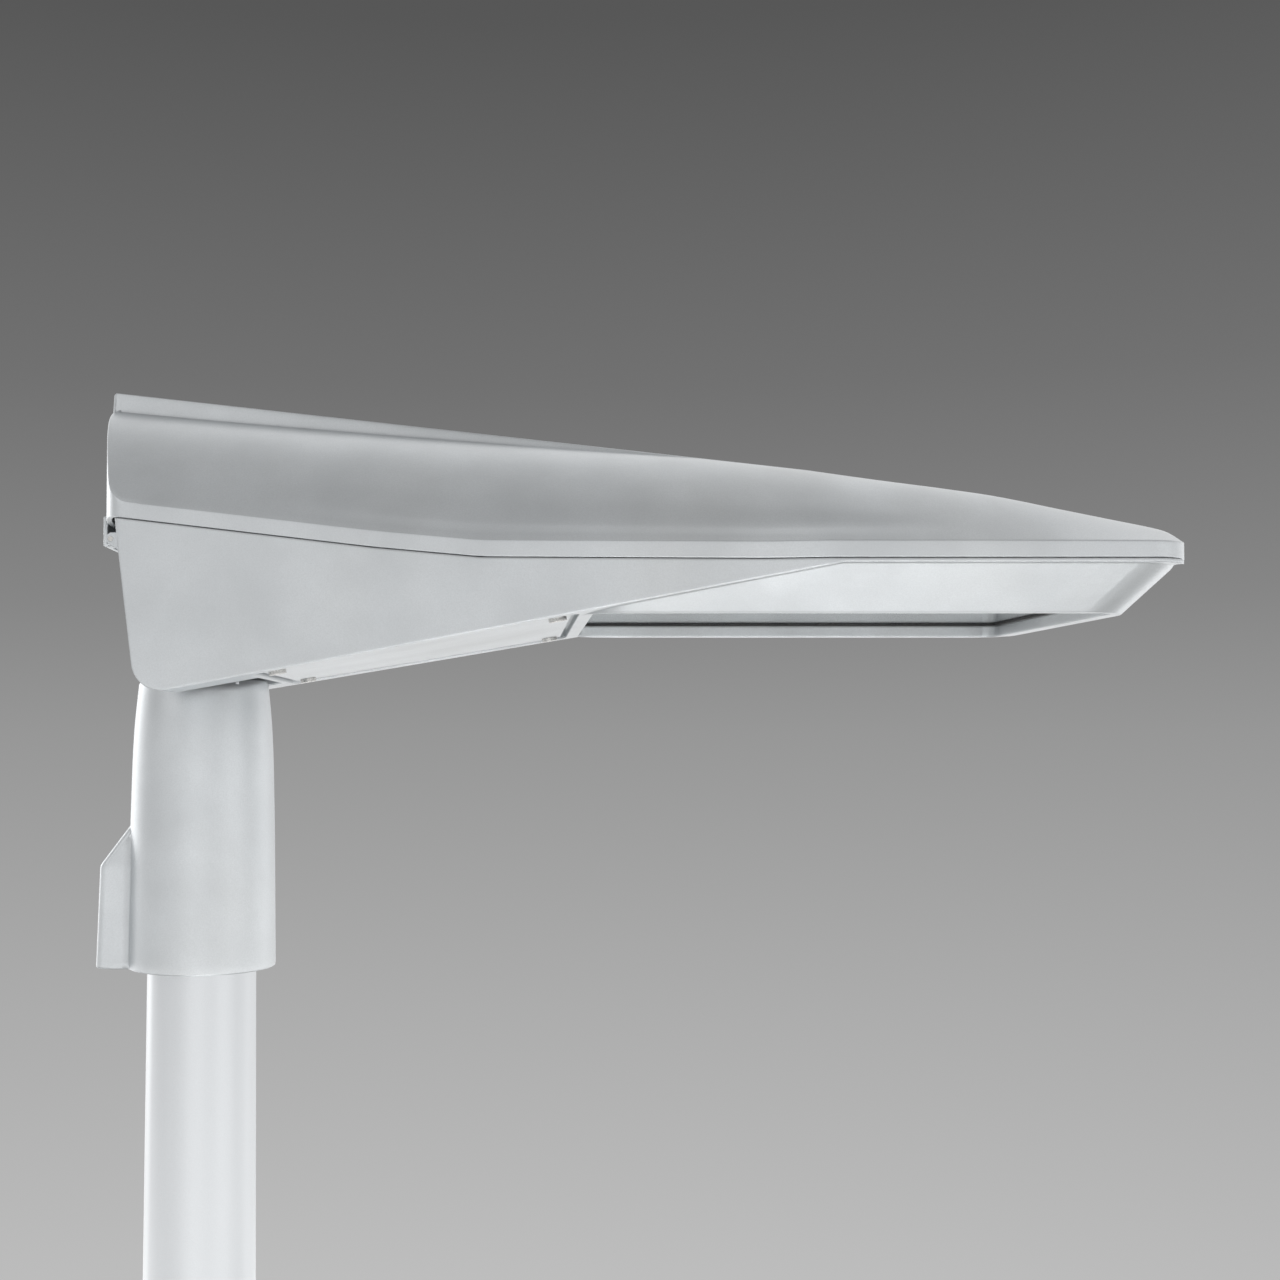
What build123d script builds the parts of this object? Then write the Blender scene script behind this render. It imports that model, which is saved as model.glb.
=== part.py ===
from build123d import *
import os
from math import atan2, cos, degrees, radians, sin

# A street lamp post: conical steel pole on a base plate, cast spigot, and a flat
# glass LED head whose top cover opens about a hinge at its nose.
# Frame: origin under the base plate on the pole's axis, +Z up, +X towards the head's nose.
# Millimetres. Heights called h are measured up from the rim plane of the head.

# ---- fits -------------------------------------------------------------------------
GAP = 0.4            # between pieces that move past each other
PIN_FIT = 0.05       # radial running clearance of a hinge pin
BOLT_FIT = 0.3       # radial clearance of a bolt in its hole

# ---- pole -------------------------------------------------------------------------
POLE_TOP_Z = 4000.0
POLE_TOP_R = 30.0
POLE_TAPER = 0.005   # growth of the radius per millimetre downwards
POLE_WALL = 3.0
PLATE_SIDE = 300.0
PLATE_T = 20.0
PLATE_CORNER_R = 18.0
ANCHOR_SQUARE = 200.0
ANCHOR_HOLE_R = 12.0
CABLE_ENTRY_R = 30.0
GUSSET_T = 8.0
GUSSET_H = 90.0
GUSSET_LEN = 75.0

# ---- service door -----------------------------------------------------------------
DOOR_Z = 600.0       # lower edge of the opening
DOOR_H = 260.0
DOOR_W = 62.0
DOOR_GAP = 1.0
DOOR_FRAME_T = 4.0
DOOR_FRAME_LAND = 9.0
DOOR_SCREW_R = 4.0
DOOR_SCREW_HEAD_R = 7.0
DOOR_SCREW_INSET = 18.0
FUSE_BOX = (34.0, 42.0, 150.0)
FUSE_RAIL_W = 30.0
FUSE_RAIL_T = 3.0
EARTH_STUD_R = 4.0

# ---- spigot -----------------------------------------------------------------------
SPIGOT_ENGAGE = 95.0         # how far the pole goes in
SPIGOT_H = 163.0
SPIGOT_R = (41.3, 40.3, 39.3, 38.0, 36.0)
SPIGOT_R_AT = (0.0, 0.5, 0.75, 0.88, 1.0)
SPIGOT_BORE_FIT = 1.5        # bore radius over the pole's end radius
BOSS_REACH = 57.3
BOSS_H = 56.0
BOSS_SLANT = 20.0
BOSS_W = 30.0
SET_SCREW_R = 5.0
KNUCKLE_R = 24.0
KNUCKLE_W = 56.0
KNUCKLE_SLOT = 28.0
LEAD_HOLE_R = 9.0
TILT_AXIS_H = -38.0
TILT_BOLT_R = 6.0
TILT_LUG_R = 14.0
TILT_LUG_T = 10.0

# ---- head outline -----------------------------------------------------------------
RIM_Z = 4121.9
HEAD_REAR_X = -50.0          # hindmost point, on the rounded rear end
HEAD_FRONT_X = 511.0
REAR_ARC_R = 220.0           # plan radius of the rear end
TAPER_X = (-40.0, 330.0)     # where the plan taper starts and ends
HEAD_HALF_W = 140.0
HEAD_REAR_HALF_W = 78.0
PLAN_CORNER_R = 25.0
REAR_CORNER_R = 14.0
PART_LINE = ((HEAD_REAR_X, 30.0), (105.0, 9.2), (160.0, 3.3), (300.0, 0.0), (HEAD_FRONT_X, 0.0))
WALL = 3.0

# ---- cover ------------------------------------------------------------------------
RIM_BAND = 8.2
WING_W = 61.0                # from the rim in to the raised spine
STEP_W = 1.5
SPINE_LINE = ((HEAD_REAR_X, 107.8), (422.0, 40.4), (492.0, 24.8), (HEAD_FRONT_X, 20.7))
STEP_REAR = 10.2             # height of the spine above the wings at the rear
STEP_END_X = 276.0           # where that step runs out
WING_SHAPE = ((1.0, 0.0), (0.85, 0.26), (0.6, 0.58), (0.3, 0.86), (0.0, 1.0))
COVER_STATIONS = (HEAD_REAR_X, 105.0, STEP_END_X, TAPER_X[1], 422.0, 492.0, HEAD_FRONT_X)

# ---- housing ----------------------------------------------------------------------
SIDE_REAR_TOP_X = -33.0
SIDE_CORNER = (-20.8, -65.8)
SIDE_CORNER_R = 16.0
SIDE_SLOPE = 0.178
RIM_FOOT = 2.0
REAR_WALL_END_H = -26.0
BULGE_X = -46.0              # hindmost point of the housing's rear wall, at its rim
BULGE_SLOPE = 0.39           # how fast it draws in downwards
TRAY_DEPTH = 24.4
TRAY_REAR_X = 212.0
TRAY_FRONT_X = 490.0
TRAY_HALF_W = 110.0
TRAY_DRAFT_SIDE = 28.0
TRAY_DRAFT_FRONT = 19.0
TRAY_FLOOR = 7.0
FLOOR_T = 8.5
FRONT_BAR_X = 498.0          # the housing is solid ahead of this, down to FRONT_BAR_H
FRONT_BAR_H = -9.0
SEAL_W = 3.0
SEAL_H = 4.0
NECK_FRONT_X = 38.0
NECK_HALF_W = 47.0

# ---- hatch ------------------------------------------------------------------------
HATCH_X = (44.0, 206.0)
HATCH_T = 4.0
HATCH_RECESS = 5.0
HATCH_GROOVE = 4.0
HATCH_SIDE_LAND = 14.0       # from the outer side face to the hatch's edge
HATCH_FLANGE = 14.0
HATCH_SCREW_R = 2.5

# ---- optics -----------------------------------------------------------------------
APERTURE_X = (217.0, 482.0)
APERTURE_HALF_W = 103.0
APERTURE_R = 8.0
GLASS_T = 5.0
GLASS_LAND = 8.0
GASKET_T = 1.0
GASKET_LIP = 1.5
LENS_PLATE_T = 3.0
LENS_DOME_R = 5.0
LENS_COLUMNS = 8
LENS_ROWS = 6
LENS_PITCH = (26.0, 28.0)
BOARD_T = 1.6
CHIP = (3.5, 3.5, 0.8)
SINK_BASE_T = 5.0
SINK_BASE_H = -1.0           # its underside
SINK_FIN_H = 20.0
SINK_FIN_T = 3.0
SINK_FINS = 9
SINK_HALF_W = 96.0
CLIP = (14.0, 10.0, 1.5)
CLIP_AT = (0.15, 0.6, 0.85)  # shares of the aperture's length

# ---- hinge, latch, stay -----------------------------------------------------------
HINGE_X = 507.5
HINGE_H = -0.5
HINGE_PIN_R = 1.5
HINGE_KNUCKLE_R = 3.4
HINGE_Y = 55.0
HINGE_KNUCKLE_L = 20.0
HINGE_LUG_L = 9.0
HINGE_RELIEF_R = 4.0
HINGE_RELIEF_END = 14.0      # how far the relief runs into the rounded plan corner
LATCH_X = -48.0
LATCH_H = 23.0
LATCH_HALF_W = 22.0
LATCH_TOP_H = 36.0
LATCH_BOTTOM_H = 19.0
LATCH_T = 2.6
LATCH_BARREL_R = 3.0
LATCH_PIN_R = 1.5
LATCH_LUG_T = 3.5
STAY_X = 307.0
STAY_H = 9.0
STAY_Y = -96.5
STAY_LEN = 180.0
STAY_R = 2.5
STAY_PIN_R = 3.0
STAY_EYE_R = 5.0
STAY_TIP_R = 4.0
STAY_EAR_T = 4.0
COVER_OPEN = 60.0            # degrees the cover opens
STAY_RATIO = 2.2             # degrees the stay turns per degree of the cover
CATCH_T = 5.0
CATCH_W = 16.0
BREATHER_AT = (48.0, 8.0)    # y and h of the vent in the rear wall
BREATHER_R = 6.0

FAR = 600.0                  # larger than the head in every direction


def up(h):
    """Height in the frame of a height above the rim plane."""
    return RIM_Z + h


def along(points, x):
    """Height of a polyline of (x, h) points at x."""
    for (x0, h0), (x1, h1) in zip(points, points[1:]):
        if x <= x1:
            return h0 + (h1 - h0) * (x - x0) / (x1 - x0)
    return points[-1][1]


def half_width(x, inset=0.0):
    """Half width of the head's plan at x."""
    share = (x - TAPER_X[0]) / (TAPER_X[1] - TAPER_X[0])
    return HEAD_REAR_HALF_W + (HEAD_HALF_W - HEAD_REAR_HALF_W) * min(share, 1.0) - inset


def underside(x, rise=0.0):
    """Height of the side plates' straight lower edge at x."""
    return SIDE_CORNER[1] + SIDE_SLOPE * (x - SIDE_CORNER[0]) + rise


def pole_radius(z):
    """Outer radius of the conical pole at height z."""
    return POLE_TOP_R + POLE_TAPER * (POLE_TOP_Z - z)


def block(x0, x1, y0, y1, z0, z1):
    """Box between two corners."""
    return Pos((x0 + x1) / 2, (y0 + y1) / 2, (z0 + z1) / 2) * Box(x1 - x0, y1 - y0, z1 - z0)


def rod_x(radius, x0, x1, y, z):
    """Cylinder along X."""
    return Pos((x0 + x1) / 2, y, z) * Rot(0, 90, 0) * Cylinder(radius, x1 - x0)


def rod_y(radius, y0, y1, x, z):
    """Cylinder along Y."""
    return Pos(x, (y0 + y1) / 2, z) * Rot(90, 0, 0) * Cylinder(radius, y1 - y0)


def rod_z(radius, z0, z1, x=0.0, y=0.0):
    """Cylinder along Z."""
    return Pos(x, y, (z0 + z1) / 2) * Cylinder(radius, z1 - z0)


def hexagon_y(flat, y0, y1, x, z):
    """Hexagonal prism along Y."""
    face = Plane.XZ * Pos(x, z) * RegularPolygon(flat / 2, 6, major_radius=False)
    return Pos(0, y1, 0) * extrude(face, amount=y1 - y0)


def cone_z(r0, r1, z0, z1):
    """Cone frustum along Z with radius r0 at z0 and r1 at z1."""
    return Pos(0, 0, (z0 + z1) / 2) * Cone(r0, r1, z1 - z0)


def across(points, half):
    """Prism across Y of an outline of (x, h) points."""
    outline = Polygon(*[(x, up(h)) for x, h in points], align=None)
    return extrude(Plane.XZ * outline, amount=half, both=True)


def plan_prism(inset, h0, h1):
    """The head's plan outline, drawn in by inset, between two heights."""
    centre, radius = HEAD_REAR_X + REAR_ARC_R, REAR_ARC_R - inset
    corner_x = rear_corner_x(inset)
    corner_y = half_width(corner_x, inset)
    front, side_x, side_y = HEAD_FRONT_X - inset, TAPER_X[1], HEAD_HALF_W - inset
    with BuildSketch() as outline:
        with BuildLine():
            ThreePointArc((corner_x, corner_y), (centre - radius, 0), (corner_x, -corner_y))
            Polyline((corner_x, -corner_y), (side_x, -side_y), (front, -side_y),
                     (front, side_y), (side_x, side_y), (corner_x, corner_y))
        make_face()
        corners = outline.vertices().sort_by(Axis.X)
        fillet(corners[-2:], PLAN_CORNER_R - inset)
        corners = outline.vertices().sort_by(Axis.X)
        fillet(corners[:2], REAR_CORNER_R - inset)
    return Pos(0, 0, up(h0)) * extrude(outline.sketch, amount=h1 - h0)


def rear_corner_x(inset):
    """Where the rounded rear end meets the tapering side."""
    centre, radius = HEAD_REAR_X + REAR_ARC_R, REAR_ARC_R - inset
    x = HEAD_REAR_X + inset
    for _ in range(8):
        x = centre - (radius ** 2 - half_width(x, inset) ** 2) ** 0.5
    return x


def rounded_frame(x0, x1, half, radius, h0, h1):
    """Rectangular block with rounded upright edges."""
    plate = Pos((x0 + x1) / 2, 0) * RectangleRounded(x1 - x0, 2 * half, radius)
    return Pos(0, 0, up(h0)) * extrude(plate, amount=h1 - h0)


def joined(shapes):
    """Separate solids as one exportable shape."""
    return Compound(children=[solid for shape in shapes for solid in shape.solids()])


# ---- pole and base ----------------------------------------------------------------

def base_plate():
    plate = Pos(0, 0, PLATE_T / 2) * Box(PLATE_SIDE, PLATE_SIDE, PLATE_T)
    plate = fillet(plate.edges().filter_by(Axis.Z), PLATE_CORNER_R)
    plate -= rod_z(CABLE_ENTRY_R, -1, PLATE_T + 1)
    half = ANCHOR_SQUARE / 2
    for x in (-half, half):
        for y in (-half, half):
            plate -= rod_z(ANCHOR_HOLE_R, -1, PLATE_T + 1, x, y)
    return plate


def pole_skin(outer, inner, z0, z1):
    """Conical tube between two offsets inwards from the pole's outer face."""
    tube = cone_z(pole_radius(z0) - outer, pole_radius(z1) - outer, z0, z1)
    return tube - cone_z(pole_radius(z0) - inner, pole_radius(z1) - inner, z0, z1)


def door_window(margin):
    """Block through the pole's rear side, as large as the door opening plus a margin."""
    z0, z1 = DOOR_Z - margin, DOOR_Z + DOOR_H + margin
    window = block(-FAR, 0, -DOOR_W / 2 - margin, DOOR_W / 2 + margin, z0, z1)
    corners = window.edges().filter_by(Axis.X)
    return fillet(corners, DOOR_W / 5 + margin)


def pole_shaft():
    return pole_skin(0, POLE_WALL, PLATE_T, POLE_TOP_Z) - door_window(DOOR_GAP)


def base_gussets():
    foot = pole_radius(PLATE_T)
    outline = Polygon((foot - 6, PLATE_T), (foot + GUSSET_LEN, PLATE_T),
                      (foot + GUSSET_LEN, PLATE_T + GUSSET_T),
                      (foot + GUSSET_T, PLATE_T + GUSSET_H),
                      (foot - 6, PLATE_T + GUSSET_H), align=None)
    rib = extrude(Plane.XZ * outline, amount=GUSSET_T / 2, both=True)
    rib -= cone_z(pole_radius(0), pole_radius(2 * GUSSET_H), 0, 2 * GUSSET_H)
    return joined([Rot(0, 0, 90 * turn) * rib for turn in range(4)])


def door_frame():
    ring = pole_skin(POLE_WALL, POLE_WALL + DOOR_FRAME_T,
                     DOOR_Z - 2 * DOOR_FRAME_LAND, DOOR_Z + DOOR_H + 2 * DOOR_FRAME_LAND)
    frame = ring & door_window(DOOR_FRAME_LAND)
    frame -= door_window(-DOOR_FRAME_LAND)
    for z in door_screw_heights():
        frame += block(-pole_radius(z) + POLE_WALL + DOOR_FRAME_T / 2,
                       -pole_radius(z) + POLE_WALL + 2 * DOOR_FRAME_T,
                       -DOOR_W / 2 + 2, DOOR_W / 2 - 2, z - 9, z + 9) & ring_core(z)
        frame -= rod_x(DOOR_SCREW_R + BOLT_FIT, -FAR, 0, 0, z)
    return frame


def ring_core(z):
    """Everything inside the pole's bore near height z."""
    radius = pole_radius(z + 20) - POLE_WALL
    return rod_z(radius, z - 20, z + 20)


def door_screw_heights():
    return (DOOR_Z + DOOR_SCREW_INSET, DOOR_Z + DOOR_H - DOOR_SCREW_INSET)


def door_panel():
    panel = pole_skin(0, POLE_WALL - GAP, DOOR_Z - 5, DOOR_Z + DOOR_H + 5) & door_window(0)
    for z in door_screw_heights():
        panel -= rod_x(DOOR_SCREW_R + BOLT_FIT, -FAR, 0, 0, z)
    return panel


def door_screws():
    screws = []
    for z in door_screw_heights():
        face = -pole_radius(z)
        shank = rod_x(DOOR_SCREW_R, face - 1, face + POLE_WALL + 2 * DOOR_FRAME_T + 4, 0, z)
        head = rod_x(DOOR_SCREW_HEAD_R, face - 4, face - 0.3, 0, z)
        head -= rod_x(3, face - 5, face - 2, 0, z)
        screws.append(shank + head)
    return joined(screws)


def fuse_place():
    """Front face, middle and lower end of the fuse box inside the pole."""
    middle_z = DOOR_Z + DOOR_H / 2
    bore = pole_radius(middle_z) - POLE_WALL
    return bore - FUSE_BOX[0] - 16, middle_z - FUSE_BOX[2] / 2


def fuse_rail():
    x0, z0 = fuse_place()
    x1 = x0 + FUSE_BOX[0]
    z1 = z0 + FUSE_BOX[2]
    rail = block(x1, x1 + FUSE_RAIL_T, -FUSE_RAIL_W / 2, FUSE_RAIL_W / 2, z0 - 15, z1 + 15)
    for z in (z0, z1):
        rail += block(x1, x1 + 40, -8, 8, z - 8, z + 8)
    inside = cone_z(pole_radius(z0 - 30) - POLE_WALL, pole_radius(z1 + 30) - POLE_WALL, z0 - 30, z1 + 30)
    return rail & inside


def fuse_box():
    x0, z0 = fuse_place()
    size_x, size_y, size_z = FUSE_BOX
    box = block(x0, x0 + size_x, -size_y / 2, size_y / 2, z0, z0 + size_z)
    box = fillet(box.edges().filter_by(Axis.Z), 4)
    box += rod_z(8, z0 - 14, z0 + 1, x0 + size_x / 2, -10) + rod_z(8, z0 - 14, z0 + 1, x0 + size_x / 2, 10)
    box += rod_z(8, z0 + size_z - 1, z0 + size_z + 14, x0 + size_x / 2, 0)
    fuse_caps = [rod_x(7, x0 - 3, x0 + 1, 0, z0 + size_z * share) for share in (0.35, 0.65)]
    for cap in fuse_caps:
        box += cap
    return box


def earth_stud():
    z = DOOR_Z + 2 * DOOR_FRAME_LAND
    bore = pole_radius(z) - POLE_WALL
    stud = rod_x(EARTH_STUD_R, bore - 30, bore + 1, 0, z)
    stud += rod_x(9, bore - 10, bore - 8, 0, z)
    nut = Plane.YZ * Pos(0, z) * RegularPolygon(6.5, 6, major_radius=False)
    stud += Pos(bore - 17, 0, 0) * extrude(nut, amount=7)
    inside = cone_z(pole_radius(z - 20) - POLE_WALL, pole_radius(z + 20) - POLE_WALL, z - 20, z + 20)
    return stud & inside


# ---- spigot -----------------------------------------------------------------------

def spigot_z():
    return POLE_TOP_Z - SPIGOT_ENGAGE


def spigot_top():
    return spigot_z() + SPIGOT_H


def spigot():
    z0, z1 = spigot_z(), spigot_top()
    rim = [(radius, z0 + SPIGOT_H * share) for radius, share in zip(SPIGOT_R, SPIGOT_R_AT)]
    section = Polygon((0, z0), *rim, (0, z1), align=None)
    body = revolve(Plane.XZ * section, Axis.Z)
    waist = SPIGOT_R[2] - 2
    boss = Polygon((-waist, z0), (-BOSS_REACH, z0), (-BOSS_REACH + 1.8, z0 + BOSS_H),
                   (-waist - 4, z0 + BOSS_H + BOSS_SLANT - 5), (-waist, z0 + BOSS_H + BOSS_SLANT), align=None)
    boss = extrude(Plane.XZ * boss, amount=BOSS_W / 2, both=True)
    boss += block(-waist, 0, -BOSS_W / 2, BOSS_W / 2, z0, z0 + BOSS_H)
    axis_z = up(TILT_AXIS_H)
    knuckle = block(-KNUCKLE_R, KNUCKLE_R, -KNUCKLE_W / 2, KNUCKLE_W / 2, z1 - 5, axis_z)
    knuckle += rod_y(KNUCKLE_R, -KNUCKLE_W / 2, KNUCKLE_W / 2, 0, axis_z)
    knuckle -= block(-FAR, FAR, -KNUCKLE_SLOT / 2, KNUCKLE_SLOT / 2, z1, up(0))
    body += boss + knuckle
    body -= rod_z(POLE_TOP_R + SPIGOT_BORE_FIT, z0 - 1, POLE_TOP_Z + GAP)
    body -= rod_z(LEAD_HOLE_R, POLE_TOP_Z, z1 + 1, -KNUCKLE_SLOT / 2, 0)
    body -= rod_y(TILT_BOLT_R + BOLT_FIT, -FAR, FAR, 0, axis_z)
    for z in set_screw_heights():
        body -= rod_x(SET_SCREW_R, -FAR, 0, 0, z)
    return body


def set_screw_heights():
    return (spigot_z() + BOSS_H * 0.3, spigot_z() + BOSS_H * 0.75)


def spigot_set_screws():
    screws = []
    for z in set_screw_heights():
        tip = -pole_radius(z) - GAP
        screw = rod_x(SET_SCREW_R, -BOSS_REACH + 2.5, tip, 0, z)
        socket = Plane.YZ * Pos(0, z) * RegularPolygon(2.5, 6, major_radius=False)
        screw -= Pos(-BOSS_REACH + 1, 0, 0) * extrude(socket, amount=7)
        screws.append(screw)
    return joined(screws)


# ---- head: cover ------------------------------------------------------------------

def spine_half(x):
    """Half width of the raised spine at x."""
    return half_width(x, WING_W)


def cover_section(x, inset):
    """Cross-section of the cover's outer skin at x, drawn in by inset."""
    foot = along(PART_LINE, x) + GAP
    half = half_width(x, inset)
    spine = along(SPINE_LINE, x) - inset
    share = min(max((x - HEAD_REAR_X) / (STEP_END_X - HEAD_REAR_X), 0.0), 1.0)
    step = STEP_REAR * (1 - share ** 1.3) + 0.3
    top_half = spine_half(x) - inset / 2
    shoulder = top_half + STEP_W
    low = foot + min(RIM_BAND, spine - foot - 1.0) - min(inset, 1.0)
    side = [(half, foot - (inset > 0) * GAP)]
    for width_share, height_share in WING_SHAPE:
        side.append((shoulder + (half - shoulder) * width_share,
                     low + (spine - step - low) * height_share))
    side.append((top_half, spine))
    outline = side + [(-y, h) for y, h in reversed(side)]
    section = Polygon(*[(y, up(h)) for y, h in outline], align=None)
    return Pos(x, 0, 0) * (Plane.YZ * section)


def cover_solid(inset):
    """The cover as a full solid, drawn in by inset on every face but its open underside."""
    stations = [min(max(x, HEAD_REAR_X + inset), HEAD_FRONT_X - inset) for x in COVER_STATIONS]
    body = loft([cover_section(x, inset).face() for x in stations], ruled=True)
    return body & plan_prism(inset, -5, 140)


def cover():
    shell = cover_solid(0) - cover_solid(WALL)
    for side in (-1, 1):
        y0, y1 = sorted((side * (HINGE_Y - HINGE_KNUCKLE_L / 2), side * (HINGE_Y + HINGE_KNUCKLE_L / 2)))
        shell += rod_y(HINGE_KNUCKLE_R, y0, y1, HINGE_X, up(HINGE_H))
        for end in (y0, y1):
            outer = end - HINGE_LUG_L - GAP if end == y0 else end
            shell -= rod_y(HINGE_KNUCKLE_R + GAP, outer, outer + HINGE_LUG_L + GAP, HINGE_X, up(HINGE_H))
    shell -= rod_y(HINGE_PIN_R + PIN_FIT, -FAR, FAR, HINGE_X, up(HINGE_H))
    return shell


# ---- head: housing ----------------------------------------------------------------

def housing_side(inset, floor_rise):
    """Side view of the housing between its parting line and its straight lower edge."""
    rear_top = along(PART_LINE, SIDE_REAR_TOP_X)
    slope = (SIDE_CORNER[0] - SIDE_REAR_TOP_X) / (SIDE_CORNER[1] - rear_top)
    corner_h = underside(SIDE_CORNER[0] + inset, floor_rise)
    corner_x = SIDE_REAR_TOP_X + slope * (corner_h - rear_top) + inset
    top = [(x, h + (inset > 0) * RIM_BAND) for x, h in PART_LINE[1:-1]]
    front = HEAD_FRONT_X - inset
    foot_h = -RIM_FOOT + (inset > 0) * RIM_FOOT
    end_x = SIDE_CORNER[0] + (foot_h - floor_rise - SIDE_CORNER[1]) / SIDE_SLOPE
    rear = (SIDE_REAR_TOP_X + inset, rear_top + (inset > 0) * RIM_BAND)
    points = [rear, *top, (front, (inset > 0) * RIM_BAND), (front, foot_h), (end_x, foot_h),
              (corner_x, corner_h)]
    return across(points, FAR)


def rear_bulge(inset):
    """Rounded rear wall of the housing, which draws in towards its lower edge."""
    lean = atan2(BULGE_SLOPE, 1)
    radius = (REAR_ARC_R - inset) * cos(lean)
    top = along(PART_LINE, BULGE_X)
    barrel = Pos(BULGE_X + REAR_ARC_R, 0, up(top)) * Rot(0, -degrees(lean), 0) * Cylinder(radius, FAR / 2)
    rise = (inset > 0) * RIM_BAND
    slab = across([(BULGE_X - 5, along(PART_LINE, BULGE_X - 5) + rise), (0, along(PART_LINE, 0) + rise),
                   (0, REAR_WALL_END_H - 20), (BULGE_X - 5, REAR_WALL_END_H - 20)], FAR)
    return barrel & slab & plan_prism(inset, -120, 60)


def tray_block(inset, floor, top):
    """The optic tray's tapering outside, drawn in by inset, from its floor height to top."""
    def at(h):
        share = (h + TRAY_DEPTH) / TRAY_DEPTH
        front = TRAY_FRONT_X + TRAY_DRAFT_FRONT * share - inset
        half = TRAY_HALF_W + TRAY_DRAFT_SIDE * share - inset
        rear = TRAY_REAR_X + inset
        plate = Pos((rear + front) / 2, 0) * RectangleRounded(front - rear, 2 * half, PLAN_CORNER_R - inset)
        return Pos(0, 0, up(h)) * plate
    return loft([at(floor).face(), at(top).face()], ruled=True)


def hatch_zone(shrink, low, high):
    """Slab along the slanted underside, with the hatch's tapering plan."""
    x0, x1 = HATCH_X[0] + shrink, HATCH_X[1] - shrink
    plan = Polygon(*[(x, side * (half_width(x) - HATCH_SIDE_LAND - shrink))
                     for x, side in ((x0, -1), (x1, -1), (x1, 1), (x0, 1))], align=None)
    plan = fillet(plan.vertices(), 8)
    column = Pos(0, 0, up(SIDE_CORNER[1])) * extrude(plan, amount=-2 * SIDE_CORNER[1])
    slab = across([(x0 - 20, underside(x0 - 20, low)), (x1 + 20, underside(x1 + 20, low)),
                   (x1 + 20, underside(x1 + 20, high)), (x0 - 20, underside(x0 - 20, high))], FAR)
    return column & slab


def cavity():
    """Space inside the housing."""
    gear = housing_side(WALL, FLOOR_T) & plan_prism(WALL, -120, 60)
    optic = tray_block(WALL, -TRAY_DEPTH + TRAY_FLOOR, 0) & plan_prism(2 * WALL, -TRAY_DEPTH, 0)
    return gear + optic + rear_bulge(WALL) - block(FRONT_BAR_X, FAR, -FAR, FAR, up(FRONT_BAR_H), up(FAR))


def housing():
    side = housing_side(0, 0)
    corner = side.edges().filter_by(Axis.Y).sort_by(Axis.Z)[0]
    side = fillet(corner, SIDE_CORNER_R)
    tray = tray_block(0, -TRAY_DEPTH, -GAP) & plan_prism(GAP, -TRAY_DEPTH, 0)
    body = (side & plan_prism(0, -120, 60)) + tray + rear_bulge(0)
    body -= cavity()
    bulkhead_y = half_width(TRAY_REAR_X, WALL + SEAL_W + GAP)
    bulkhead = block(TRAY_REAR_X - WALL, TRAY_REAR_X + WALL, -bulkhead_y, bulkhead_y,
                     up(-TRAY_DEPTH), up(SINK_BASE_H))
    body += bulkhead & cavity()
    body -= block(-FAR, NECK_FRONT_X, -NECK_HALF_W, NECK_HALF_W, up(-120), up(REAR_WALL_END_H))
    body -= hatch_zone(-HATCH_GROOVE, -20, HATCH_RECESS)
    body -= hatch_zone(HATCH_FLANGE, -20, FLOOR_T + 5)
    body -= rounded_frame(*APERTURE_X, APERTURE_HALF_W, APERTURE_R, -TRAY_DEPTH - 1, -TRAY_DEPTH + TRAY_FLOOR + 1)
    axis_h = up(HINGE_H)
    hinge_end = HEAD_HALF_W - PLAN_CORNER_R + HINGE_RELIEF_END
    body -= rod_y(HINGE_RELIEF_R, -hinge_end, hinge_end, HINGE_X, axis_h)
    for y0 in hinge_lug_starts():
        lug = rod_y(HINGE_KNUCKLE_R, y0, y0 + HINGE_LUG_L, HINGE_X, axis_h)
        lug += block(HINGE_X - 9, HINGE_X, y0, y0 + HINGE_LUG_L, axis_h - HINGE_KNUCKLE_R, axis_h)
        body += lug - rod_y(HINGE_PIN_R, -FAR, FAR, HINGE_X, axis_h)
    for x, y in hatch_screw_places():
        z = up(underside(x))
        body -= Pos(x, y, z) * Cylinder(HATCH_SCREW_R, 60)
    return body


def hinge_lug_starts():
    """Lower Y end of each hinge lug of the housing."""
    half = HINGE_KNUCKLE_L / 2 + GAP
    return [side * HINGE_Y + offset for side in (-1, 1) for offset in (-half - HINGE_LUG_L, half)]


def hinge_pins():
    reach = HINGE_KNUCKLE_L / 2 + GAP + HINGE_LUG_L
    return joined([rod_y(HINGE_PIN_R, side * HINGE_Y - reach, side * HINGE_Y + reach, HINGE_X, up(HINGE_H))
                   for side in (-1, 1)])


def housing_seal():
    """Rubber strip along both sides and the front, inside the rim and under the cover's edge."""
    ring = plan_prism(WALL, -10, 40) - plan_prism(WALL + SEAL_W, -11, 41)
    low = [(x, h - SEAL_H) for x, h in PART_LINE]
    band = across([*low, *reversed(PART_LINE)], FAR)
    legs = ring & band & block(SIDE_REAR_TOP_X + 4 * WALL, FRONT_BAR_X, -FAR, FAR, up(-FAR), up(FAR))
    front = block(FRONT_BAR_X - SEAL_W, FRONT_BAR_X, -FAR, FAR, up(-SEAL_H), up(0))
    return (legs + front) & cavity()


# ---- head: tilt joint -------------------------------------------------------------

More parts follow.
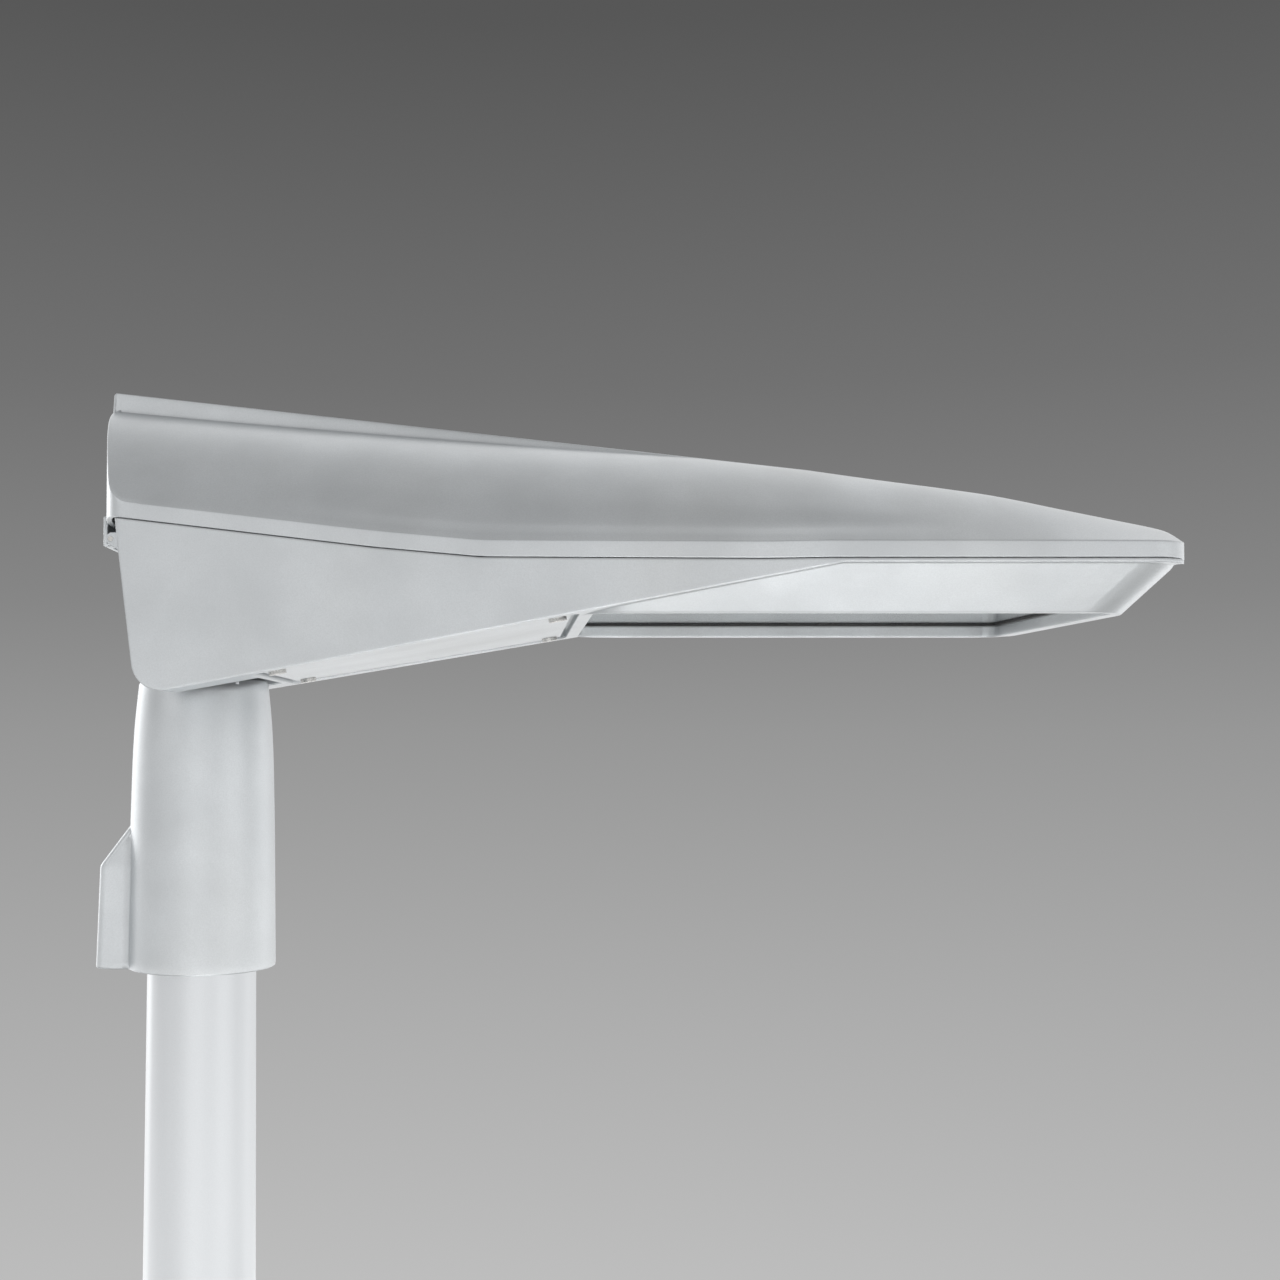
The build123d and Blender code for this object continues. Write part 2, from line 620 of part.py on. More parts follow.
def tilt_bracket():
    axis_z = up(TILT_AXIS_H)
    inner = KNUCKLE_W / 2 + GAP
    bridge_h = TILT_AXIS_H + KNUCKLE_R + 4
    bridge = block(-FAR, NECK_FRONT_X + 4, -FAR, FAR, up(bridge_h), up(bridge_h + 6)) & cavity()
    for side in (-1, 1):
        y0, y1 = sorted((side * inner, side * (inner + TILT_LUG_T)))
        bridge += block(-TILT_LUG_R, TILT_LUG_R, y0, y1, axis_z, up(bridge_h + 1))
        bridge += rod_y(TILT_LUG_R, y0, y1, 0, axis_z)
    bridge -= rod_z(LEAD_HOLE_R + 3, up(bridge_h) - 1, up(bridge_h) + 20, -8, 0)
    return bridge - rod_y(TILT_BOLT_R, -FAR, FAR, 0, axis_z)


def tilt_reach():
    """Distance from the middle to the outer face of a bracket lug."""
    return KNUCKLE_W / 2 + GAP + TILT_LUG_T


def tilt_bolt():
    axis_z, reach = up(TILT_AXIS_H), tilt_reach()
    shank = rod_y(TILT_BOLT_R, -reach - 4, reach + 16, 0, axis_z)
    head = hexagon_y(18, -reach - 10, -reach - 2.4, 0, axis_z)
    washer = rod_y(12, -reach - 2.5, -reach, 0, axis_z) - rod_y(TILT_BOLT_R - 1, -reach - 3, -reach + 1, 0, axis_z)
    return shank + head + washer


def tilt_nut():
    axis_z, reach = up(TILT_AXIS_H), tilt_reach()
    nut = hexagon_y(18, reach + 2.4, reach + 13, 0, axis_z) + rod_y(12, reach, reach + 2.5, 0, axis_z)
    return nut - rod_y(TILT_BOLT_R, -FAR, FAR, 0, axis_z)


# ---- head: hatch ------------------------------------------------------------------

def hatch():
    plate = hatch_zone(0, HATCH_RECESS - HATCH_T, HATCH_RECESS)
    for x, y in hatch_screw_places():
        plate -= Pos(x, y, up(underside(x))) * Cylinder(HATCH_SCREW_R + BOLT_FIT, 60)
    return plate


def hatch_screw_places():
    inset = HATCH_FLANGE / 2
    places = []
    for x in (HATCH_X[0] + inset, HATCH_X[1] - inset):
        y = half_width(x) - HATCH_SIDE_LAND - 2 * inset
        places += [(x, -y), (x, y)]
    return places


def hatch_screws():
    screws = []
    for x, y in hatch_screw_places():
        z = up(underside(x, HATCH_RECESS))
        tilt = Rot(0, -degrees(atan2(SIDE_SLOPE, 1)), 0)
        shank = Pos(x, y, z + 1) * Cylinder(HATCH_SCREW_R, 12)
        head = Pos(x, y, z - HATCH_T) * tilt * Pos(0, 0, -1.1) * Cylinder(HATCH_SCREW_R * 1.9, 2)
        slot = Pos(x, y, z - HATCH_T - 2.4) * tilt * Box(7, 1.2, 1.2)
        screws.append(shank + head - slot)
    return joined(screws)


# ---- head: optics -----------------------------------------------------------------

def glass_outline(margin, h0, h1):
    return rounded_frame(APERTURE_X[0] - margin, APERTURE_X[1] + margin, APERTURE_HALF_W + margin,
                         APERTURE_R + margin, h0, h1)


GLASS_H = -TRAY_DEPTH + TRAY_FLOOR + GASKET_T


def glass_gasket():
    seat_h = GLASS_H - GASKET_T
    outer = rounded_frame(APERTURE_X[0] - 1, APERTURE_X[1] + GLASS_LAND, APERTURE_HALF_W + 3,
                          APERTURE_R + 3, seat_h, GLASS_H)
    return outer - glass_outline(-GASKET_LIP, seat_h - 1, GLASS_H + 1)


def glass():
    return rounded_frame(APERTURE_X[0] - 1, APERTURE_X[1] + GLASS_LAND, APERTURE_HALF_W + 3,
                         APERTURE_R + 3, GLASS_H, GLASS_H + GLASS_T)


def glass_clips():
    """Spring clips that bear on the glass from inside, along both long edges."""
    length, width, thick = CLIP
    clips = []
    top = GLASS_H + GLASS_T
    for share in CLIP_AT:
        x = APERTURE_X[0] + share * (APERTURE_X[1] - APERTURE_X[0])
        for side in (-1, 1):
            y0, y1 = sorted((side * (APERTURE_HALF_W - width / 2), side * (APERTURE_HALF_W + 3)))
            foot = block(x - length / 2, x + length / 2, y0, y1, up(top), up(top + thick))
            yo = sorted((side * (APERTURE_HALF_W + 3 - thick), side * (APERTURE_HALF_W + 3)))
            web = block(x - length / 2, x + length / 2, *yo, up(top), up(SINK_BASE_H))
            flange = block(x - length / 2, x + length / 2,
                           *sorted((side * (SINK_HALF_W - 8), side * (APERTURE_HALF_W + 3))),
                           up(SINK_BASE_H - thick), up(SINK_BASE_H))
            clips.append(foot + web + flange)
    return joined(clips)


def lens_places():
    mid_x = (APERTURE_X[0] + APERTURE_X[1]) / 2
    pitch_x, pitch_y = LENS_PITCH
    return [(mid_x + (col - (LENS_COLUMNS - 1) / 2) * pitch_x, (row - (LENS_ROWS - 1) / 2) * pitch_y)
            for col in range(LENS_COLUMNS) for row in range(LENS_ROWS)]


def board_h():
    return SINK_BASE_H - BOARD_T


def board_block(margin, h0, h1):
    xs = [x for x, _ in lens_places()]
    ys = [y for _, y in lens_places()]
    return block(min(xs) - margin, max(xs) + margin, min(ys) - margin, max(ys) + margin, up(h0), up(h1))


def led_board():
    return board_block(13, board_h(), SINK_BASE_H)


def led_chips():
    size_x, size_y, thick = CHIP
    return joined([Pos(x, y, up(board_h() - thick / 2)) * Box(size_x, size_y, thick)
                   for x, y in lens_places()])


def lens_array():
    """Clear plate with one dome under each chip; pockets on its upper face hold the chips."""
    high = board_h()
    plate = board_block(13, high - LENS_PLATE_T, high)
    dome_cut = Pos(0, 0, -LENS_DOME_R) * Box(20, 20, 2 * LENS_DOME_R)
    dome = Sphere(LENS_DOME_R) & dome_cut
    dome = scale(dome, by=(1.0, 1.0, 0.5))
    domes = [Pos(x, y, up(high - LENS_PLATE_T + 0.01)) * dome for x, y in lens_places()]
    plate += domes
    pocket = CHIP[0] + 1.5
    plate -= [Pos(x, y, up(high - 0.6)) * Box(pocket, pocket, 1.2) for x, y in lens_places()]
    return plate


def heat_sink():
    x0, x1 = TRAY_REAR_X - WALL, FRONT_BAR_X - SEAL_W - 1
    low = SINK_BASE_H
    sink = block(x0, x1, -SINK_HALF_W, SINK_HALF_W, up(low), up(low + SINK_BASE_T))
    span = 2 * spine_half(x0) - SINK_FIN_T
    for index in range(SINK_FINS):
        y = -span / 2 + span * index / (SINK_FINS - 1)
        sink += block(x0 + 12, x1 - 75, y - SINK_FIN_T / 2, y + SINK_FIN_T / 2,
                      up(low + SINK_BASE_T - 0.5), up(low + SINK_BASE_T + SINK_FIN_H))
    return sink


# ---- head: control gear -----------------------------------------------------------

GEAR_TRAY_H = -14.0
GEAR_TRAY_T = 1.5
GEAR_X = (50.0, 206.0)
DRIVER = (118.0, 66.0, 34.0)
DRIVER_X = 82.0


GLAND_R = 9.0
GLAND_AT = (72.0, -66.0)


def gear_top():
    return GEAR_TRAY_H + GEAR_TRAY_T


def gear_tray():
    """Folded steel tray that carries the gear, standing on four legs on the housing's floor."""
    tray = block(*GEAR_X, -FAR, FAR, up(GEAR_TRAY_H), up(gear_top())) & cavity()
    for x in (GEAR_X[0], GEAR_X[1] - 8):
        for side in (-1, 1):
            y = side * (half_width(x) - HATCH_SIDE_LAND - 4)
            leg = block(x, x + 8, y - 4, y + 4, up(underside(x) - 5), up(GEAR_TRAY_H)) & cavity()
            tray += leg
    return tray - rod_z(GLAND_R, up(GEAR_TRAY_H) - 1, up(gear_top()) + 1, *GLAND_AT)


def driver():
    length, width, height = DRIVER
    z0 = up(gear_top())
    case = block(DRIVER_X, DRIVER_X + length, -width / 2, width / 2, z0, z0 + height)
    case = fillet(case.edges().filter_by(Axis.X), 3)
    for x in (DRIVER_X - 6, DRIVER_X + length):
        case += block(x, x + 6, -width / 2 + 10, width / 2 - 10, z0, z0 + 2)
    return case


def terminal_block():
    z0 = up(gear_top())
    body = block(56, 76, -52, -8, z0, z0 + 18)
    for index in range(5):
        body -= Pos(66, -48 + 9 * index, z0 + 18) * Cylinder(2.2, 8)
    return body


def surge_protector():
    z0 = up(gear_top())
    body = block(96, 146, 44, 76, z0, z0 + 26)
    return fillet(body.edges().filter_by(Axis.Z), 3)


def disconnector_socket():
    z0 = up(gear_top())
    return block(56, 76, 12, 48, z0, z0 + 20) - block(60, 72, 16, 44, z0 + 10, z0 + 30)


def disconnector_plug():
    """Upper half of the disconnector, on a mast from the cover's roof."""
    z0 = up(gear_top())
    body = block(61.5, 70.5, 18, 42, z0 + 12, z0 + 34)
    body += block(64, 68, 20, 30, z0 + 33, up(140))
    return body & (cover_solid(WALL) + block(40, 100, 0, 60, up(-20), up(40)))


def cable_gland():
    z = up(gear_top())
    x, y = GLAND_AT
    gland = rod_z(GLAND_R, z - 10, z + 10, x, y)
    gland += Pos(x, y, z) * extrude(RegularPolygon(GLAND_R + 2, 6, major_radius=False), amount=5)
    return gland - rod_z(GLAND_R / 2, z - 20, z + 20, x, y)


def cable_clamp():
    z0 = up(gear_top())
    saddle = block(56, 64, -8 + 2, 6 + 2, z0, z0 + 6) - rod_x(4, 50, 70, 1, z0 + 1)
    return saddle


# ---- head: latch ------------------------------------------------------------------

def bulge_x(y, h):
    """Where the rounded rear wall's outer face lies."""
    across_r = REAR_ARC_R * cos(atan2(BULGE_SLOPE, 1))
    return (BULGE_X + BULGE_SLOPE * (along(PART_LINE, BULGE_X) - h)
            + REAR_ARC_R * (1 - (1 - (y / across_r) ** 2) ** 0.5))


def breather_valve():
    """Round membrane vent on the rear wall, beside the latch."""
    y, h = BREATHER_AT
    face = bulge_x(y, h)
    wall = rear_bulge(0) + (housing_side(0, 0) & plan_prism(0, -120, 60))
    return rod_x(BREATHER_R, face - 2 * WALL, face + WALL, y, up(h)) - wall


def latch_bracket():
    """Two ears on the housing's rear wall."""
    ears = []
    wall = rear_bulge(0)
    outline = [(LATCH_X + 14, LATCH_H + 3.5), (LATCH_X, LATCH_H + 3.5), (LATCH_X - 2.5, LATCH_H + 2),
               (LATCH_X - 2.5, LATCH_H - 2), (LATCH_X, LATCH_H - 3.5), (LATCH_X + 14, LATCH_H - 12)]
    for side in (-1, 1):
        y0, y1 = sorted((side * (LATCH_HALF_W + GAP), side * (LATCH_HALF_W + GAP + LATCH_LUG_T)))
        ear = across(outline, FAR) & block(-FAR, 0, y0, y1, up(-FAR), up(FAR))
        ear -= wall + cavity()
        ears.append(ear - rod_y(LATCH_PIN_R, -FAR, FAR, LATCH_X, up(LATCH_H)))
    return joined(ears)


def latch_pin():
    reach = LATCH_HALF_W + GAP + LATCH_LUG_T
    return rod_y(LATCH_PIN_R, -reach, reach, LATCH_X, up(LATCH_H))


def latch_lever():
    """Flat lever on a barrel; its upper end lies against the cover's rear edge."""
    outer = HEAD_REAR_X - GAP - LATCH_T
    outline = [(outer, LATCH_BOTTOM_H), (LATCH_X - 1, LATCH_BOTTOM_H), (LATCH_X - 1, LATCH_H),
               (outer + LATCH_T, LATCH_H + LATCH_BARREL_R), (outer + LATCH_T, LATCH_TOP_H),
               (outer, LATCH_TOP_H)]
    lever = across(outline, LATCH_HALF_W)
    lever += rod_y(LATCH_BARREL_R, -LATCH_HALF_W, LATCH_HALF_W, LATCH_X, up(LATCH_H))
    lever -= rod_y(LATCH_PIN_R + PIN_FIT, -FAR, FAR, LATCH_X, up(LATCH_H))
    return lever - rod_y(LATCH_BARREL_R + GAP, -7, 7, LATCH_X, up(LATCH_H))


def latch_spring():
    coils = [rod_y(LATCH_BARREL_R - GAP, y, y + 1.6, LATCH_X, up(LATCH_H)) for y in (-5.8, -3.4, -1.0, 1.4, 3.8)]
    coils = [coil - rod_y(LATCH_PIN_R + PIN_FIT, -9, 9, LATCH_X, up(LATCH_H)) for coil in coils]
    return joined(coils)


# ---- head: stay -------------------------------------------------------------------

def stay_pivot():
    """Ear on the heat sink with the pin that the stay turns on."""
    foot = up(SINK_BASE_H + SINK_BASE_T)
    ear_y = STAY_Y + STAY_R + GAP
    ear = block(STAY_X - 8, STAY_X + 8, ear_y, ear_y + STAY_EAR_T, foot, up(STAY_H + STAY_EYE_R))
    return ear + rod_y(STAY_PIN_R, STAY_Y - STAY_R, ear_y + 1, STAY_X, up(STAY_H))


def stay_rod():
    rod = rod_x(STAY_R, STAY_X - STAY_LEN, STAY_X, STAY_Y, up(STAY_H))
    rod += rod_y(STAY_EYE_R, STAY_Y - STAY_R, STAY_Y + STAY_R, STAY_X, up(STAY_H))
    rod += rod_y(STAY_TIP_R, STAY_Y - STAY_R, STAY_Y + STAY_R, STAY_X - STAY_LEN, up(STAY_H))
    return rod - rod_y(STAY_PIN_R + PIN_FIT, -FAR, FAR, STAY_X, up(STAY_H))


def catch_place():
    """Where the stay's free end meets the open cover, in the closed cover's frame."""
    turn = radians(180 - COVER_OPEN * STAY_RATIO)
    x = STAY_X + STAY_LEN * cos(turn) - HINGE_X
    z = STAY_H + STAY_LEN * sin(turn) - HINGE_H
    back = radians(COVER_OPEN)
    return HINGE_X + x * cos(back) - z * sin(back), HINGE_H + x * sin(back) + z * cos(back)


def stay_catch():
    x, h = catch_place()
    y1 = STAY_Y - STAY_R - GAP
    plate = block(x - CATCH_W / 2, x + CATCH_W / 2, y1 - CATCH_T, y1, up(h - CATCH_W / 2), up(80))
    plate -= rod_y(STAY_PIN_R, -FAR, FAR, x, up(h))
    room = cover_solid(WALL) + block(x - 20, x + 20, -FAR, 0, up(-30), up(RIM_BAND))
    return plate & room


NODES = {
    "base_plate": base_plate, "base_gussets": base_gussets, "pole_shaft": pole_shaft,
    "door_frame": door_frame, "fuse_rail": fuse_rail, "fuse_box": fuse_box, "earth_stud": earth_stud,
    "door_panel": door_panel, "door_screws": door_screws,
    "spigot": spigot, "spigot_set_screws": spigot_set_screws,
    "housing": housing, "housing_seal": housing_seal, "hinge_pins": hinge_pins,
    "tilt_bracket": tilt_bracket, "tilt_bolt": tilt_bolt, "tilt_nut": tilt_nut,
    "hatch": hatch, "hatch_screws": hatch_screws,
    "glass_gasket": glass_gasket, "glass": glass, "glass_clips": glass_clips,
    "lens_array": lens_array, "led_board": led_board, "led_chips": led_chips, "heat_sink": heat_sink,
    "gear_tray": gear_tray, "driver": driver, "terminal_block": terminal_block,
    "surge_protector": surge_protector, "disconnector_socket": disconnector_socket,
    "cable_gland": cable_gland, "cable_clamp": cable_clamp, "breather_valve": breather_valve,
    "latch_bracket": latch_bracket, "latch_pin": latch_pin, "latch_spring": latch_spring,
    "stay_pivot": stay_pivot,
    "cover": cover, "disconnector_plug": disconnector_plug, "stay_catch": stay_catch,
    "latch_lever": latch_lever, "stay_rod": stay_rod,
}

os.makedirs("parts", exist_ok=True)
for name, make in NODES.items():
    export_step(make(), f"parts/{name}.step")
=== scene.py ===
"""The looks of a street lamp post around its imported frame.

Sizes are in millimetres. Heights called h are measured up from the rim plane of the head.
"""

import logging
import math
from dataclasses import dataclass
from enum import Enum

import bmesh
import bpy
import numpy as np
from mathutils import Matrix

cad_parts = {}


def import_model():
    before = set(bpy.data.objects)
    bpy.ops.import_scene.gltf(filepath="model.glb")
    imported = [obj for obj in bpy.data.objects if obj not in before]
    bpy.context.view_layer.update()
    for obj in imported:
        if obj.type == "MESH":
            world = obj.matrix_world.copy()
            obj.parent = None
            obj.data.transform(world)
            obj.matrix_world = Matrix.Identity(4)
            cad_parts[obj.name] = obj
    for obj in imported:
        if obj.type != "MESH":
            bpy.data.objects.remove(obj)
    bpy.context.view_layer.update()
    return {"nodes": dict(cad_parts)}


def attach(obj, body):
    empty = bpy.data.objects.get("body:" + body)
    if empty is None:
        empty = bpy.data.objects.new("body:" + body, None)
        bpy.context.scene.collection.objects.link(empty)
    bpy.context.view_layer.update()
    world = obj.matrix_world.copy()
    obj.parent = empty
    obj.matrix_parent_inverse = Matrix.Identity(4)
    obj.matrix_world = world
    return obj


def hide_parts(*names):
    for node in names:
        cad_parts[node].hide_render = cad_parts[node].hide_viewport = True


Array = np.ndarray
Colour = tuple[float, float, float]
Line = tuple[tuple[float, float], ...]

MM = 0.001
RIM_Z = 4121.9
SMOOTH_ANGLE = math.radians(32)
LOG = logging.getLogger("lamp_post")


class Body(Enum):
    """The bodies that pieces ride on."""

    POST = "post"
    ARM = "spigot_arm"
    HEAD = "head"
    COVER = "top_cover"
    LATCH = "latch"


class Axis(Enum):
    """The axis that a turned or extruded piece lies along."""

    X = 0
    Y = 1
    Z = 2


# ---- shader graphs ----------------------------------------------------------------


class Graph:
    """A material's node graph around one Principled shader."""

    def __init__(self, name: str) -> None:
        """Starts an empty graph.

        Args:
            name: The material's name.
        """
        self.material = bpy.data.materials.new(name)
        self.material.use_nodes = True
        self.nodes = self.material.node_tree.nodes
        self.links = self.material.node_tree.links
        self.shader = self.nodes["Principled BSDF"]
        self.place = self.add("ShaderNodeTexCoord").outputs["Object"]
        self.normal = None

    def add(self, kind: str, **inputs: object) -> bpy.types.Node:
        """Adds a node.

        Args:
            kind: The node's type.
            **inputs: Socket values or sockets to link, by name with _ for a space.

        Returns:
            The node.
        """
        node = self.nodes.new(kind)
        for key, value in inputs.items():
            self.put(node.inputs[key.replace("_", " ")], value)
        return node

    def put(self, target: bpy.types.NodeSocket, value: object) -> None:
        """Links a socket to the target, or sets the target's value."""
        if isinstance(value, bpy.types.NodeSocket):
            self.links.new(value, target)
        else:
            target.default_value = value

    def set(self, **inputs: object) -> None:
        """Sets or links sockets of the shader by name, with _ for a space."""
        for key, value in inputs.items():
            self.put(self.shader.inputs[key.replace("_", " ")], value)

    def stretched(self, stretch: Colour) -> bpy.types.NodeSocket:
        """Object coordinates multiplied axis by axis."""
        node = self.add("ShaderNodeMapping", Vector=self.place, Scale=stretch)
        return node.outputs["Vector"]

    def noise(self, scale: float, detail: float = 2.0, stretch: Colour = (1, 1, 1),
              distortion: float = 0.0) -> bpy.types.NodeSocket:
        """Smooth noise on Object coordinates.

        Args:
            scale: Features per metre.
            detail: Octaves.
            stretch: Extra scale along each axis.
            distortion: How much the noise folds over itself.

        Returns:
            The noise, about 0.3 to 0.7.
        """
        vector = self.place if stretch == (1, 1, 1) else self.stretched(stretch)
        node = self.add("ShaderNodeTexNoise", Vector=vector, Scale=scale, Detail=detail,
                        Distortion=distortion)
        return node.outputs[0]

    def cells(self, scale: float, output: str = "Distance") -> bpy.types.NodeSocket:
        """Voronoi cells on Object coordinates."""
        return self.add("ShaderNodeTexVoronoi", Vector=self.place, Scale=scale).outputs[output]

    def span(self, value: bpy.types.NodeSocket, low: float, high: float, to_low: float = 0.0,
             to_high: float = 1.0) -> bpy.types.NodeSocket:
        """Maps low..high of a value to to_low..to_high, and holds it at the ends."""
        node = self.add("ShaderNodeMapRange", Value=value)
        for key, number in (("From Min", low), ("From Max", high), ("To Min", to_low), ("To Max", to_high)):
            node.inputs[key].default_value = number
        return node.outputs["Result"]

    def maths(self, operation: str, first: object, second: object = 0.0) -> bpy.types.NodeSocket:
        """One sum of two values."""
        node = self.nodes.new("ShaderNodeMath")
        node.operation = operation
        self.put(node.inputs[0], first)
        self.put(node.inputs[1], second)
        return node.outputs[0]

    def mix(self, share: bpy.types.NodeSocket, first: object, second: object) -> bpy.types.NodeSocket:
        """Mixes two colours."""
        node = self.nodes.new("ShaderNodeMix")
        node.data_type = "RGBA"
        self.put(node.inputs[0], share)
        for socket, value in ((node.inputs[6], first), (node.inputs[7], second)):
            self.put(socket, (*value, 1.0) if isinstance(value, tuple) else value)
        return node.outputs[2]

    def soften_edges(self, radius: float) -> None:
        """Rounds the shading of sharp edges over a radius in millimetres."""
        node = self.nodes.new("ShaderNodeBevel")
        node.samples = 4
        node.inputs["Radius"].default_value = radius * MM
        self.normal = node.outputs["Normal"]

    def relief(self, height: bpy.types.NodeSocket, depth: float, strength: float = 1.0) -> None:
        """Adds one layer of bump.

        Args:
            height: The height, 0 to 1.
            depth: How deep 0 to 1 is, in millimetres.
            strength: How much of it shows.
        """
        node = self.add("ShaderNodeBump", Height=height, Distance=depth * MM, Strength=strength)
        if self.normal is not None:
            self.links.new(self.normal, node.inputs["Normal"])
        self.normal = node.outputs["Normal"]

    def done(self) -> bpy.types.Material:
        """Links the normal and hands over the material."""
        if self.normal is not None:
            self.links.new(self.normal, self.shader.inputs["Normal"])
        return self.material


# ---- finishes ---------------------------------------------------------------------


@dataclass(frozen=True)
class PowderCoat:
    """Light grey metallic powder coat: fine granules, faint cloudiness and a little dust."""

    name: str
    colour: Colour = (0.60, 0.622, 0.638)
    metallic: float = 0.86
    roughness: float = 0.40
    grain: float = 0.030
    edge: float = 0.7

    def build(self) -> bpy.types.Material:
        """Makes the material."""
        graph = Graph(self.name)
        granule = graph.noise(1500, 2.5)
        speck = graph.cells(2100)
        cloud = graph.noise(26, 4.0)
        dust = graph.span(graph.noise(9, 5.0, (1, 1, 0.35)), 0.5, 0.72)
        light = tuple(c * 1.05 for c in self.colour)
        dark = tuple(c * 0.93 for c in self.colour)
        tone = graph.mix(graph.span(cloud, 0.3, 0.7), dark, light)
        tone = graph.mix(graph.span(granule, 0.32, 0.68, 0.0, 0.32), tone,
                         tuple(c * 0.80 for c in self.colour))
        tone = graph.mix(graph.span(dust, 0, 1, 0.0, 0.12), tone, (0.52, 0.50, 0.46))
        rough = graph.span(granule, 0.3, 0.7, self.roughness - 0.05, self.roughness + 0.05)
        rough = graph.maths("ADD", rough, graph.span(dust, 0, 1, 0.0, 0.08))
        graph.set(Base_Color=tone, Metallic=self.metallic, Roughness=rough, Coat_Weight=0.12,
                  Coat_Roughness=0.28)
        graph.soften_edges(self.edge)
        graph.relief(graph.noise(210, 2.0), 0.05)
        graph.relief(granule, self.grain)
        graph.relief(speck, self.grain * 0.5)
        return graph.done()


@dataclass(frozen=True)
class PolePaint:
    """Light grey sprayed paint on the pole, with long faint runs and fine orange peel."""

    name: str
    colour: Colour = (0.60, 0.615, 0.63)

    def build(self) -> bpy.types.Material:
        """Makes the material."""
        graph = Graph(self.name)
        runs = graph.span(graph.noise(14, 4.0, (1, 1, 0.05)), 0.35, 0.7)
        peel = graph.noise(420, 2.0)
        granule = graph.noise(1700, 2.0)
        tone = graph.mix(runs, tuple(c * 1.04 for c in self.colour), tuple(c * 0.92 for c in self.colour))
        tone = graph.mix(graph.span(granule, 0.35, 0.7, 0.0, 0.22), tone,
                         tuple(c * 0.82 for c in self.colour))
        rough = graph.span(runs, 0, 1, 0.34, 0.42)
        graph.set(Base_Color=tone, Metallic=0.82, Roughness=rough, Coat_Weight=0.15, Coat_Roughness=0.2)
        graph.soften_edges(0.6)
        graph.relief(peel, 0.02)
        graph.relief(granule, 0.014)
        return graph.done()


@dataclass(frozen=True)
class Galvanised:
    """Hot-dip zinc: crystal spangle of differing greys, with dull grey bloom."""

    name: str
    scale: float = 75.0

    def build(self) -> bpy.types.Material:
        """Makes the material."""
        graph = Graph(self.name)
        spangle = graph.cells(self.scale, "Color")
        shade = graph.maths("MULTIPLY", graph.add("ShaderNodeSeparateColor", Color=spangle).outputs[0], 1.0)
        bloom = graph.span(graph.noise(16, 5.0), 0.42, 0.68)
        tone = graph.mix(shade, (0.46, 0.48, 0.49), (0.66, 0.68, 0.69))
        tone = graph.mix(graph.maths("MULTIPLY", bloom, 0.5), tone, (0.60, 0.61, 0.60))
        rough = graph.maths("ADD", graph.span(shade, 0, 1, 0.32, 0.52), graph.span(bloom, 0, 1, 0.0, 0.14))
        graph.set(Base_Color=tone, Metallic=0.9, Roughness=rough)
        graph.soften_edges(1.0)
        graph.relief(graph.noise(60, 3.0), 0.12)
        graph.relief(shade, 0.02)
        return graph.done()


@dataclass(frozen=True)
class Metal:
    """Bare metal with fine lines along one axis: stainless, extruded aluminium or brass."""

    name: str
    colour: Colour
    along: Axis
    roughness: float = 0.28
    lines: float = 900.0

    def build(self) -> bpy.types.Material:
        """Makes the material."""
        graph = Graph(self.name)
        stretch = tuple(0.03 if axis is self.along else 1.0 for axis in Axis)
        line = graph.noise(self.lines, 3.0, stretch)
        smear = graph.span(graph.noise(45, 3.0), 0.35, 0.7)
        tone = graph.mix(graph.span(line, 0.3, 0.7), tuple(c * 0.86 for c in self.colour), self.colour)
        tone = graph.mix(graph.maths("MULTIPLY", smear, 0.35), tone, tuple(c * 0.8 for c in self.colour))
        rough = graph.span(line, 0.3, 0.7, self.roughness - 0.06, self.roughness + 0.1)
        graph.set(Base_Color=tone, Metallic=1.0, Roughness=rough)
        graph.soften_edges(0.35)
        graph.relief(line, 0.012)
        return graph.done()


@dataclass(frozen=True)
class Rubber:
    """Black silicone with a matt, slightly dusty skin."""

    name: str

    def build(self) -> bpy.types.Material:
        """Makes the material."""
        graph = Graph(self.name)
        dust = graph.span(graph.noise(160, 4.0), 0.4, 0.75)
        tone = graph.mix(dust, (0.012, 0.012, 0.013), (0.035, 0.034, 0.032))
        graph.set(Base_Color=tone, Roughness=graph.span(dust, 0, 1, 0.55, 0.8))
        graph.relief(graph.noise(1400, 2.0), 0.02)
        return graph.done()


@dataclass(frozen=True)
class Clear:
    """Clear glass or acrylic, faintly smeared."""

    name: str
    tint: Colour
    ior: float
    specular: float
    roughness: float = 0.02

    def build(self) -> bpy.types.Material:
        """Makes the material."""
        graph = Graph(self.name)
        smear = graph.span(graph.noise(34, 4.0), 0.45, 0.75)
        tone = graph.mix(smear, self.tint, tuple(c * 0.97 for c in self.tint))
        rough = graph.span(smear, 0, 1, self.roughness, self.roughness + 0.05)
        graph.set(Base_Color=tone, Roughness=rough, Transmission_Weight=1.0, IOR=self.ior,
                  Specular_IOR_Level=self.specular)
        graph.relief(graph.noise(12, 1.0), 0.01)
        return graph.done()


@dataclass(frozen=True)
class Moulded:
    """Moulded plastic or board lacquer with a fine spark-eroded texture."""

    name: str
    colour: Colour
    roughness: float = 0.5
    texture: float = 0.02

    def build(self) -> bpy.types.Material:
        """Makes the material."""
        graph = Graph(self.name)
        cloud = graph.span(graph.noise(55, 4.0), 0.35, 0.7)
        tone = graph.mix(cloud, self.colour, tuple(c * 0.88 for c in self.colour))
        graph.set(Base_Color=tone, Roughness=graph.span(cloud, 0, 1, self.roughness, self.roughness + 0.12))
        graph.soften_edges(0.4)
        graph.relief(graph.noise(1600, 2.0), self.texture)
        return graph.done()


